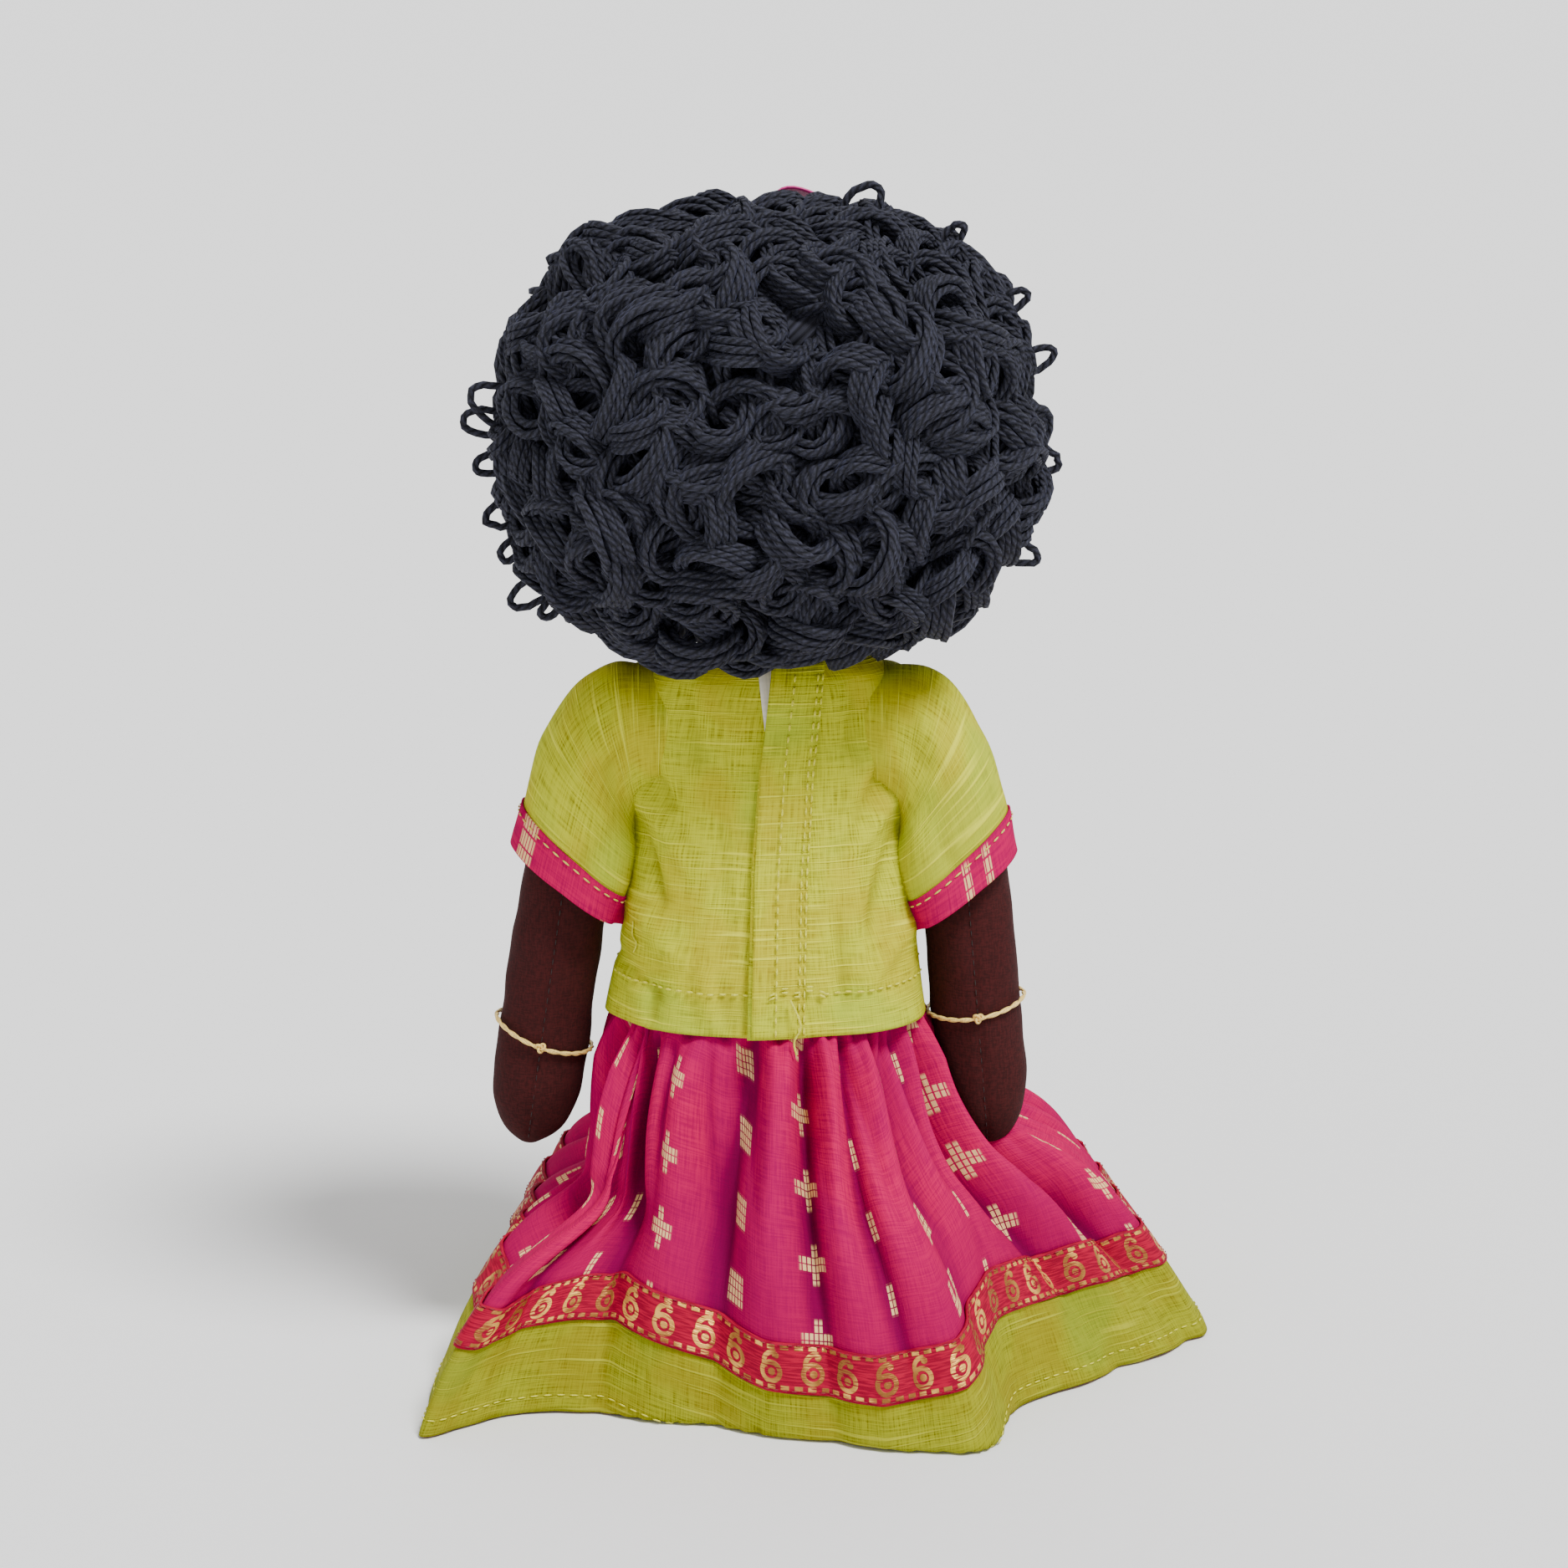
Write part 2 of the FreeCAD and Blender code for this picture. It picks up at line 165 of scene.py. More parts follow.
def ripple(points, size, depth, seed):
    """Smooth noise, one number for each point, size in the same units as the points."""
    flat = np.asarray(points, float).reshape(-1, 3) / size
    shift = Vector((seed * 7.3, seed * 3.1, seed * 5.7))
    values = [noise.noise(Vector(p) + shift) for p in flat]
    return depth * np.array(values).reshape(np.asarray(points).shape[:-1])


def grid_normals(grid, wrap):
    down = np.gradient(grid, axis=0)
    if wrap:
        along = (np.roll(grid, -1, axis=1) - np.roll(grid, 1, axis=1)) / 2
    else:
        along = np.gradient(grid, axis=1)
    normal = np.cross(down, along)
    return normal / np.maximum(np.linalg.norm(normal, axis=2, keepdims=True), 1e-9)


def lumpy(grid, size, depth, seed):
    """A stuffed tube's grid with soft uneven lumps."""
    return grid + grid_normals(grid, True) * ripple(grid, size, depth, seed)[..., None]


def grid_mesh(name, grid, uv, wrap=False):
    """A sheet of quads from rows of points in millimetres; uv is in millimetres of flat cloth."""
    rows, columns = grid.shape[:2]
    faces = []
    corners = []
    last = columns if wrap else columns - 1
    for r in range(rows - 1):
        for c in range(last):
            n = (c + 1) % columns
            faces.append((r * columns + c, (r + 1) * columns + c, (r + 1) * columns + n, r * columns + n))
            corners += [(r, c), (r + 1, c), (r + 1, c + 1), (r, c + 1)]
    mesh = bpy.data.meshes.new(name)
    mesh.from_pydata((grid.reshape(-1, 3) * MM).tolist(), [], faces)
    picks = np.array(corners)
    layer = mesh.uv_layers.new(name="cloth")
    layer.data.foreach_set("uv", (uv[picks[:, 0], picks[:, 1]] * MM).astype(np.float32).ravel())
    return mesh


def flat_uv(across, down):
    """Flat cloth coordinates for every row and column of a grid."""
    return np.stack(np.meshgrid(across, down), axis=-1)


def mark_hollows(mesh, grid, wrap, reach, depth):
    """Stores how deep in a fold each point lies, from 0 to 1, for the shade painted into the cloth's colour.
    """
    beside = np.pad(grid, ((0, 0), (reach, reach), (0, 0)), mode="wrap" if wrap else "edge")
    count = 2 * reach + 1
    around = sum(beside[:, k:k + grid.shape[1]] for k in range(count)) / count
    sunk = np.sum((around - grid) * grid_normals(grid, wrap), axis=2)
    layer = mesh.attributes.new("hollow", "FLOAT", "POINT")
    layer.data.foreach_set("value", np.clip(sunk / depth, 0, 1).astype(np.float32).ravel())


def close_ends(mesh):
    """Fills the open rims of a mesh and turns all its faces outwards."""
    work = bmesh.new()
    work.from_mesh(mesh)
    bmesh.ops.holes_fill(work, edges=[e for e in work.edges if e.is_boundary])
    bmesh.ops.recalc_face_normals(work, faces=work.faces)
    work.to_mesh(mesh)
    work.free()


def new_piece(name, mesh, material):
    piece = bpy.data.objects.new(name, mesh)
    bpy.context.scene.collection.objects.link(piece)
    mesh.materials.clear()
    mesh.materials.append(material)
    mesh.shade_smooth()
    return piece


def thicken(piece, thickness):
    wall = piece.modifiers.new("Cloth thickness", "SOLIDIFY")
    wall.thickness = thickness
    wall.offset = -1.0


def settle(piece, body, slot, *nodes):
    """The piece moves with a body and stands for some frame nodes, which are hidden; slot is not used."""
    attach(piece, body)
    if nodes:
        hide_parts(*nodes)
    return piece


def tube_rings(path, radii, sides):
    """Rings of points round a path, with frames carried along it without twist."""
    path = np.asarray(path, float)
    heading = np.gradient(path, axis=0)
    heading /= np.linalg.norm(heading, axis=1, keepdims=True)
    start = np.array([0.0, 0.0, 1.0]) if abs(heading[0][2]) < 0.8 else np.array([0.0, 1.0, 0.0])
    side = np.cross(start, heading[0])
    rings = []
    turns = circle(sides)
    for point, direction, radius in zip(path, heading, radii):
        side = side - direction * np.dot(side, direction)
        side /= np.linalg.norm(side)
        up = np.cross(direction, side)
        ring = np.outer(np.cos(turns), side) + np.outer(np.sin(turns), up)
        rings.append(point + ring * radius)
    return np.array(rings)


def tube_mesh(name, paths, radii, sides):
    """Strands as one mesh: UV x runs along each strand in metres, UV y goes once round."""
    verts, faces, uvs = [], [], []
    for path, radius in zip(paths, radii):
        path = np.asarray(path, float)
        rings = tube_rings(path, radius, sides)
        run = np.r_[0, np.cumsum(np.linalg.norm(np.diff(path, axis=0), axis=1))] * MM
        first = sum(len(v) for v in verts)
        verts.append(rings.reshape(-1, 3))
        for r in range(len(path) - 1):
            for s in range(sides):
                n = (s + 1) % sides
                a = first + r * sides
                b = a + sides
                faces.append((a + s, a + n, b + n, b + s))
                uvs += [(run[r], s / sides), (run[r], (s + 1) / sides)]
                uvs += [(run[r + 1], (s + 1) / sides), (run[r + 1], s / sides)]
        for ring, flip in ((0, True), (len(path) - 1, False)):
            loop = [first + ring * sides + s for s in range(sides)]
            faces.append(tuple(reversed(loop)) if flip else tuple(loop))
            uvs += [(run[ring], 0.5)] * sides
    mesh = bpy.data.meshes.new(name)
    mesh.from_pydata((np.vstack(verts) * MM).tolist(), [], faces)
    layer = mesh.uv_layers.new(name="cloth")
    layer.data.foreach_set("uv", np.array(uvs, np.float32).ravel())
    return mesh


# ---------------------------------------------------------------- materials

class Shader:
    """A material's nodes, with short ways to add and join them; cloth coordinates are millimetres."""

    def __init__(self, name, roughness=0.85, **fixed):
        self.material = bpy.data.materials.new(name)
        self.material.use_nodes = True
        self.tree = self.material.node_tree
        self.tree.nodes.clear()
        self.output = self.tree.nodes.new("ShaderNodeOutputMaterial")
        self.surface = self.tree.nodes.new("ShaderNodeBsdfPrincipled")
        self.tree.links.new(self.surface.outputs["BSDF"], self.output.inputs["Surface"])
        self.surface.inputs["Roughness"].default_value = roughness
        for label, value in fixed.items():
            self.surface.inputs[label.replace("_", " ")].default_value = value

    def put(self, socket, value):
        if isinstance(value, bpy.types.NodeSocket):
            self.tree.links.new(value, socket)
        else:
            socket.default_value = value

    def calc(self, operation, *values):
        node = self.tree.nodes.new("ShaderNodeMath")
        node.operation = operation
        for socket, value in zip(node.inputs, values):
            self.put(socket, value)
        return node.outputs[0]

    def times(self, first, second):
        return self.calc("MULTIPLY", first, second)

    def plus(self, first, second):
        return self.calc("ADD", first, second)

    def minus(self, first, second):
        return self.calc("SUBTRACT", first, second)

    def most(self, first, second):
        return self.calc("MAXIMUM", first, second)

    def mix(self, amount, first, second):
        node = self.tree.nodes.new("ShaderNodeMix")
        node.data_type = "RGBA"
        self.put(node.inputs[0], amount)
        self.put(node.inputs[6], first if isinstance(first, bpy.types.NodeSocket) else (*first, 1))
        self.put(node.inputs[7], second if isinstance(second, bpy.types.NodeSocket) else (*second, 1))
        return node.outputs[2]

    def uv(self):
        """The piece's flat cloth coordinates in millimetres, as separate x and y."""
        node = self.tree.nodes.new("ShaderNodeUVMap")
        node.uv_map = "cloth"
        return self.split(node.outputs[0], 1000)

    def place(self):
        node = self.tree.nodes.new("ShaderNodeTexCoord")
        return self.split(node.outputs["Object"], 1000)

    # how deep in a fold the cloth lies, which darkens its colour as painted shade
    def hollow(self):
        node = self.tree.nodes.new("ShaderNodeAttribute")
        node.attribute_name = "hollow"
        return node.outputs["Fac"]

    def split(self, vector, scale):
        scaled = self.tree.nodes.new("ShaderNodeVectorMath")
        scaled.operation = "SCALE"
        self.put(scaled.inputs[0], vector)
        scaled.inputs["Scale"].default_value = scale
        parts = self.tree.nodes.new("ShaderNodeSeparateXYZ")
        self.put(parts.inputs[0], scaled.outputs[0])
        return parts.outputs

    def speckle(self, x, y, fine_x, fine_y, z=0.0, detail=2.0):
        """Noise from 0 to 1 with fine_x and fine_y grains to each unit of x and y."""
        place = (self.times(x, fine_x), self.times(y, fine_y), z)
        joined = self.tree.nodes.new("ShaderNodeCombineXYZ")
        for socket, value in zip(joined.inputs, place):
            self.put(socket, value)
        node = self.tree.nodes.new("ShaderNodeTexNoise")
        node.inputs["Scale"].default_value = 1.0
        node.inputs["Detail"].default_value = detail
        self.put(node.inputs["Vector"], joined.outputs[0])
        return node.outputs[0]

    def ramp(self, value, low, high):
        node = self.tree.nodes.new("ShaderNodeMapRange")
        node.interpolation_type = "SMOOTHSTEP"
        self.put(node.inputs["Value"], value)
        node.inputs["From Min"].default_value = low
        node.inputs["From Max"].default_value = high
        return node.outputs[0]

    def within(self, value, middle, half):
        """1 where the value is within half of middle, with a soft edge."""
        away = self.calc("ABSOLUTE", self.minus(value, middle))
        return self.ramp(away, half * 1.12, half * 0.88)

    def bump(self, height, strength, distance):
        node = self.tree.nodes.new("ShaderNodeBump")
        node.inputs["Strength"].default_value = strength
        node.inputs["Distance"].default_value = distance
        self.put(node.inputs["Height"], height)
        self.put(self.surface.inputs["Normal"], node.outputs[0])

    def colour(self, value):
        self.put(self.surface.inputs["Base Color"], value)

    def weave(self, x, y, warp, weft):
        """Uneven threads both ways, warp and weft millimetres apart; returns the height from 0 to 1."""
        down = self.speckle(x, y, 1 / warp, 0.12, 3.0, 1.0)
        across = self.speckle(x, y, 0.11, 1 / weft, 9.0, 1.0)
        return self.calc("MULTIPLY_ADD", down, 0.5, self.times(across, 0.5))

    def slubs(self, x, y, spacing, seed):
        """Thick places in the weft: long thin bright lines here and there."""
        line = self.speckle(x, y, 0.028, 1 / spacing, seed, 0.0)
        return self.ramp(line, 0.64, 0.78)


# tints that are mixed into the cloths' colours; the hollow tints are painted shade in folds, the low one is
# painted shade near the hem and the darker gilt is painted shade on the metallic thread
GREEN_GAP = (0.13, 0.10, 0.006)
GREEN_WARM = (0.44, 0.32, 0.01)
GREEN_FRESH = (0.36, 0.50, 0.03)
GREEN_FOLD_SHADE = (0.15, 0.13, 0.004)
GREEN_SLUB = (0.78, 0.78, 0.05)
MAGENTA_PATCH = (0.27, 0.0, 0.085)
MAGENTA_LOW_SHADE = (0.28, 0.0, 0.06)
MAGENTA_FOLD_SHADE = (0.13, 0.0, 0.045)
TAPE_RIB = (0.40, 0.0, 0.03)
SHADED_GILT = (0.30, 0.12, 0.03)
GILT = (0.86, 0.46, 0.10)
BLACK = (0.0, 0.0, 0.0)


def green_cloth(name, strength):
    s = Shader(name, 0.9, Specular_IOR_Level=0.1)
    x, y, _ = s.uv()
    threads = s.weave(x, y, 0.42, 0.45)
    slubs = s.most(s.slubs(x, y, 1.0, 1.0), s.times(s.slubs(x, y, 0.55, 5.0), 0.6))
    ground = s.mix(s.ramp(threads, 0.34, 0.60), colours().green_shade, colours().green)
    gaps = s.times(s.ramp(threads, 0.42, 0.30), 0.55)
    ground = s.mix(gaps, ground, GREEN_GAP)
    patches = s.speckle(x, y, 0.045, 0.045, 0.0, 2.0)
    warm = s.mix(s.ramp(patches, 0.42, 0.62), ground, s.mix(0.45, ground, GREEN_WARM))
    fresh = s.speckle(x, y, 0.035, 0.035, 8.0, 1.0)
    warm = s.mix(s.times(s.ramp(fresh, 0.50, 0.68), 0.45), warm, GREEN_FRESH)
    # painted shade: the cloth darkens in the hollows of its folds
    warm = s.mix(s.times(s.hollow(), 0.6), warm, GREEN_FOLD_SHADE)
    full = s.mix(s.times(slubs, 0.65), warm, GREEN_SLUB)
    # strength below 1 mixes the whole cloth towards black: painted shade, which the hem band's copy uses
    s.colour(s.mix(strength, BLACK, full))
    s.bump(s.plus(threads, s.times(slubs, 0.6)), 0.7, 0.0005)
    return s.material


def gold_in(s, mask, ground):
    return s.mix(s.times(mask, 0.92), ground, colours().gold)


# millimetres between columns of motifs and between motifs in one, and the size of a dash's cell
COLUMN_PITCH = 24.5
MOTIF_PITCH = 19.6
DASH_X = 1.2
DASH_Y = 2.0


def dashes(s, x, y):
    """A grid of small upright dashes."""
    u = s.calc("FRACT", s.calc("DIVIDE", x, DASH_X))
    v = s.calc("FRACT", s.calc("DIVIDE", y, DASH_Y))
    return s.times(s.within(u, 0.5, 0.36), s.within(v, 0.5, 0.42))


def skirt_motifs(s, x, y):
    """Woven gold motifs: a column of blocks, crosses, bars, forks, bars and crosses in turn."""
    column = s.calc("FLOOR", s.calc("DIVIDE", x, COLUMN_PITCH))
    kind = s.calc("FLOORED_MODULO", column, 6.0)
    local_x = s.minus(s.minus(x, s.times(column, COLUMN_PITCH)), COLUMN_PITCH / 2)
    drop = s.times(s.calc("FLOORED_MODULO", s.times(column, 0.37), 1.0), MOTIF_PITCH)
    local_y = s.minus(s.calc("FLOORED_MODULO", s.plus(y, drop), MOTIF_PITCH), MOTIF_PITCH / 2)

    def box(across, middle_x, middle_y, half_x, half_y):
        """A rectangle measured in dashes."""
        return s.times(s.within(across, middle_x * DASH_X, half_x * DASH_X),
                       s.within(local_y, middle_y * DASH_Y, half_y * DASH_Y))

    block = box(local_x, 0, 0, 2.5, 2.0)
    cross = s.most(box(local_x, 0, 0, 1.0, 2.6), box(local_x, 0, 0, 3.4, 1.0))
    bar = box(local_x, 0, 0, 1.0, 2.0)
    arms = s.calc("ABSOLUTE", local_x)
    fork = s.most(box(arms, 2.6, 1.1, 0.9, 1.5), box(local_x, 0, -1.0, 3.2, 0.9))
    shape = 0.0
    for number, motif in enumerate((block, cross, bar, fork, bar, cross)):
        shape = s.plus(shape, s.times(motif, s.within(kind, number, 0.4)))
    shape = s.calc("MINIMUM", shape, 1.0)
    return s.times(shape, dashes(s, local_x, local_y))


def magenta_cloth():
    s = Shader("magenta shot cotton", 0.9, Specular_IOR_Level=0.04)
    x, y, _ = s.uv()
    threads = s.weave(x, y, 0.42, 0.42)
    ground = s.mix(s.ramp(threads, 0.34, 0.64), colours().magenta_shot, colours().magenta)
    patches = s.speckle(x, y, 0.022, 0.022, 4.0, 2.0)
    ground = s.mix(s.times(s.ramp(patches, 0.4, 0.65), 0.4), ground, MAGENTA_PATCH)
    # painted shade: the skirt darkens in a band about 30 mm above the hem, fading out 44 mm away from it
    low = s.ramp(s.calc("ABSOLUTE", s.minus(y, 30.0)), 44.0, 8.0)
    ground = s.mix(s.times(low, 0.55), ground, MAGENTA_LOW_SHADE)
    # painted shade: the cloth darkens in the hollows of its folds
    ground = s.mix(s.times(s.hollow(), 0.75), ground, MAGENTA_FOLD_SHADE)
    motifs = skirt_motifs(s, x, y)
    s.colour(gold_in(s, motifs, ground))
    s.bump(s.plus(threads, s.times(motifs, 0.7)), 0.4, 0.0004)
    return s.material


def paisley(s, x, y):
    """A woven drop with a curled tip, in a cell centred on zero, about nine millimetres tall."""
    def ring(cx, cy, radius, half):
        dx = s.minus(x, cx)
        dy = s.minus(y, cy)
        away = s.calc("SQRT", s.plus(s.times(dx, dx), s.times(dy, dy)))
        return s.within(away, radius, half)
    body = ring(0.0, -1.25, 2.35, 0.62)
    heart = ring(0.2, -1.25, 0.0, 0.95)
    left_part = s.ramp(x, 1.6, 1.0)
    upper = s.ramp(y, -0.6, 0.2)
    tail = s.times(s.times(ring(0.9, 1.0, 2.75, 0.62), left_part), upper)
    tip = ring(1.3, 2.9, 0.0, 0.85)
    return s.calc("MINIMUM", s.plus(s.most(body, heart), s.most(tail, tip)), 1.0)


def tape_cloth():
    s = Shader("crimson paisley tape", 0.6, Specular_IOR_Level=0.1)
    x, y, _ = s.uv()
    pitch = 10.4
    half_width = sizes().tape_width / MM / 2
    cell = s.minus(s.calc("FLOORED_MODULO", x, pitch), pitch / 2)
    middle = s.minus(y, half_width)
    figure = paisley(s, cell, middle)
    edge = s.within(s.calc("ABSOLUTE", middle), half_width - 1.35, 0.55)
    edge_dash = s.within(s.calc("FRACT", s.calc("DIVIDE", x, 3.4)), 0.5, 0.30)
    gold = s.most(figure, s.times(edge, edge_dash))
    ribs = s.speckle(x, y, 0.2, 1.9, 2.0, 1.0)
    woven = s.times(gold, s.ramp(ribs, 0.30, 0.48))
    red = s.mix(s.ramp(ribs, 0.4, 0.62), colours().tape, TAPE_RIB)
    # painted shade: the gold thread turns dark brown in random patches, standing in for the shade its metal
    # reflects
    gilt_shade_patches = s.speckle(x, y, 0.09, 0.05, 6.0, 2.0)
    gilt = s.mix(s.ramp(gilt_shade_patches, 0.42, 0.58), SHADED_GILT, GILT)
    s.colour(s.mix(woven, red, gilt))
    s.put(s.surface.inputs["Metallic"], s.times(woven, 0.45))
    s.put(s.surface.inputs["Roughness"], s.minus(0.72, s.times(woven, 0.34)))
    s.bump(s.plus(ribs, woven), 0.5, 0.0004)
    return s.material


def brown_cotton():
    s = Shader("dark brown cotton", 0.9, Specular_IOR_Level=0.2)
    x, y, z = s.place()
    down = s.speckle(x, y, 2.0, 2.0, s.times(z, 0.5), 2.0)
    across = s.speckle(x, y, 0.6, 0.6, s.times(z, 2.4), 2.0)
    threads = s.times(s.plus(down, across), 0.5)
    base = Vector(colours().body)
    s.colour(s.mix(s.ramp(threads, 0.36, 0.64), tuple(base * 0.72), tuple(base * 1.35)))
    s.bump(threads, 0.45, 0.0004)
    return s.material


def yarn(name, colour, twist_mm, highlight_level):
    """Plied yarn: grooves darkened with painted shade and crests lit with a painted highlight wind round each
    strand.
    """
    s = Shader(name, 0.85, Sheen_Weight=0.05, Sheen_Roughness=0.4, Sheen_Tint=(0.4, 0.45, 0.9, 1),
               Specular_IOR_Level=0.3)
    x, y, _ = s.uv()
    turns = s.plus(s.calc("DIVIDE", x, twist_mm), s.times(y, 0.003))
    ply = s.calc("ABSOLUTE", s.calc("SINE", s.times(turns, math.pi)))
    fuzz = s.speckle(x, y, 1.3, 0.01, 0.0, 2.0)
    ply_highlight = s.times(ply, s.ramp(fuzz, 0.2, 0.7))
    # painted shade in the grooves and a painted highlight on the crests of the plies
    dark = tuple(Vector(colour) * 0.45)
    s.colour(s.mix(ply_highlight, dark, tuple(Vector(colour) * highlight_level)))
    s.bump(ply, 0.8, 0.0006)
    return s.material


def thread(name, colour, metallic=0.0, roughness=0.6):
    s = Shader(name, roughness, Metallic=metallic)
    x, y, z = s.place()
    grain = s.speckle(x, y, 2.5, 2.5, s.times(z, 2.5))
    s.colour(s.mix(s.ramp(grain, 0.35, 0.65), tuple(Vector(colour) * 0.7), colour))
    s.bump(grain, 0.5, 0.0003)
    return s.material


def satin(name, colour):
    s = Shader(name, 0.38, Sheen_Weight=0.2)
    x, y, _ = s.uv()
    threads = s.weave(x, y, 0.25, 0.9)
    s.colour(s.mix(s.ramp(threads, 0.3, 0.7), tuple(Vector(colour) * 0.8), colour))
    s.bump(threads, 0.2, 0.0002)
    return s.material


class Palette:
    """Every finish, made once and shared."""

    def __init__(self):
        self.green = green_cloth("green slub cotton", 1.0)
        # the hem band's copy is darkened all over as painted shade
        self.green_band_shaded = green_cloth("darker green slub cotton", 0.55)
        self.magenta = magenta_cloth()
        self.tape = tape_cloth()
        self.body = brown_cotton()
        # the last number sets how much lighter the painted highlight on the plies is than the yarn
        self.hair = yarn("navy black yarn", colours().hair, 2.6, 4.8)
        self.green_thread = thread("yellow-green thread", (0.72, 0.70, 0.05))
        self.yellow_thread = thread("yellow thread", (0.80, 0.62, 0.10))
        self.dark_thread = thread("dark brown thread", (0.02, 0.008, 0.008))
        self.crimson_thread = thread("crimson thread", (0.30, 0.01, 0.03))
        self.gold_thread = thread("pale gold thread", (1.0, 0.70, 0.20), 0.1, 0.4)
        self.white_thread = thread("white thread", (0.85, 0.84, 0.80))
        self.black_thread = thread("black thread", (0.01, 0.01, 0.012))
        self.cream = satin("cream closure strip", colours().cream)
        self.ribbon = satin("pink ribbon", colours().pink)
        self.piping = satin("red piping", (0.55, 0.015, 0.04))


PALETTE = {}


def palette():
    if "made" not in PALETTE:
        PALETTE["made"] = Palette()
    return PALETTE["made"]


# ---------------------------------------------------------------- geometry node trees

class Geometry:
    """A geometry node tree with named inputs."""

    def __init__(self, name):
        self.tree = bpy.data.node_groups.new(name, "GeometryNodeTree")
        self.tree.interface.new_socket(name="Geometry", in_out="OUTPUT", socket_type="NodeSocketGeometry")
        self.tree.interface.new_socket(name="Geometry", in_out="INPUT", socket_type="NodeSocketGeometry")
        self.start = self.tree.nodes.new("NodeGroupInput")
        self.end = self.tree.nodes.new("NodeGroupOutput")

    def take(self, name, kind):
        self.tree.interface.new_socket(name=name, in_out="INPUT", socket_type=f"NodeSocket{kind}")
        return self.start.outputs[name]

    def add(self, kind, inputs, **settings):
        node = self.tree.nodes.new(kind)
        for name, value in settings.items():
            setattr(node, name, value)
        for key, value in inputs.items():
            socket = node.inputs[key]
            if isinstance(value, bpy.types.NodeSocket):
                self.tree.links.new(value, socket)
            else:
                socket.default_value = value
        return node

    def finish(self, geometry, material):
        real = self.add("GeometryNodeRealizeInstances", {"Geometry": geometry})
        painted = self.add(
            "GeometryNodeSetMaterial", {"Geometry": real.outputs[0], "Material": material})
        self.tree.links.new(painted.outputs[0], self.end.inputs[0])
        return self.tree


def grow(piece, tree, values):
    """Runs a tree on a piece with the named inputs and keeps the result as its plain mesh."""
    modifier = piece.modifiers.new(tree.name, "NODES")
    modifier.node_group = tree
    for item in tree.interface.items_tree:
        if item.item_type == "SOCKET" and item.in_out == "INPUT" and item.name in values:
            modifier[item.identifier] = values[item.name]
    piece.update_tag()
    view = bpy.context.evaluated_depsgraph_get()
    mesh = bpy.data.meshes.new_from_object(
        piece.evaluated_get(view), preserve_all_data_layers=True, depsgraph=view)
    piece.modifiers.clear()
    old = piece.data
    piece.data = mesh
    bpy.data.meshes.remove(old)
    return piece


def stitch_tree():
    g = Geometry("Running stitches")
    pitch = g.take("Pitch", "Float")
    length = g.take("Stitch length", "Float")
    thickness = g.take("Thread thickness", "Float")
    material = g.take("Thread", "Material")
    line = g.add("GeometryNodeMeshToCurve", {"Mesh": g.start.outputs[0]})
    even = g.add("GeometryNodeResampleCurve", {"Curve": line.outputs[0], "Length": pitch}, mode="LENGTH")
    tangent = g.add("GeometryNodeInputTangent", {})
    turned = g.add("FunctionNodeAlignRotationToVector", {"Vector": tangent.outputs[0]}, axis="X")
    bead = g.add("GeometryNodeMeshUVSphere", {"Segments": 6, "Rings": 4, "Radius": 0.5})
    shape = g.add("ShaderNodeCombineXYZ", {"X": length, "Y": thickness, "Z": thickness})
    sewn = g.add("GeometryNodeInstanceOnPoints", {
        "Points": even.outputs[0], "Instance": bead.outputs[0],
        "Rotation": turned.outputs[0], "Scale": shape.outputs[0]})
    return g.finish(sewn.outputs[0], material)


def skein_tree():
    g = Geometry("Yarn skeins")
    skeins = g.take("Skeins", "Collection")
    gap = g.take("Gap", "Float")
    smallest = g.take("Smallest", "Float")
    largest = g.take("Largest", "Float")
    seed = g.take("Seed", "Int")
    material = g.take("Yarn", "Material")
    spread = g.add("GeometryNodeDistributePointsOnFaces", {
        "Mesh": g.start.outputs[0], "Distance Min": gap, "Density Max": 400000.0, "Seed": seed},
        distribute_method="POISSON")
    choice = g.add("GeometryNodeCollectionInfo", {
        "Collection": skeins, "Separate Children": True, "Reset Children": True})
    angle = g.add("FunctionNodeRandomValue", {2: 0.0, 3: 2 * math.pi, "Seed": seed}, data_type="FLOAT")
    euler = g.add("ShaderNodeCombineXYZ", {"Z": angle.outputs[1]})
    spin = g.add("FunctionNodeEulerToRotation", {"Euler": euler.outputs[0]})
    turned = g.add("FunctionNodeRotateRotation", {
        "Rotation": spread.outputs["Rotation"], "Rotate By": spin.outputs[0]}, rotation_space="LOCAL")
    size = g.add("FunctionNodeRandomValue", {2: smallest, 3: largest, "Seed": 7}, data_type="FLOAT")
    placed = g.add("GeometryNodeInstanceOnPoints", {
        "Points": spread.outputs["Points"], "Instance": choice.outputs[0], "Pick Instance": True,
        "Rotation": turned.outputs[0], "Scale": size.outputs[1]})
    return g.finish(placed.outputs[0], material)


TREES = {}


def tree(name, make):
    if name not in TREES:
        TREES[name] = make()
    return TREES[name]


def stitches(name, lines, material, body, slot, pitch=None, thickness=None):
    """Running stitches along lines of points in millimetres, one piece for one body."""
    verts, edges = [], []
    for line in lines:
        first = len(verts)
        verts += [tuple(np.asarray(p) * MM) for p in line]
        edges += [(first + i, first + i + 1) for i in range(len(line) - 1)]
    mesh = bpy.data.meshes.new(name)
    mesh.from_pydata(verts, edges, [])
    piece = bpy.data.objects.new(name, mesh)
    bpy.context.scene.collection.objects.link(piece)
    pitch = pitch or sizes().stitch
    grow(piece, tree("stitch", stitch_tree), {
        "Pitch": pitch, "Stitch length": pitch * 0.72,
        "Thread thickness": thickness or sizes().thread, "Thread": material})
    piece.data.shade_smooth()
    return settle(piece, body, slot)


# ---------------------------------------------------------------- hair

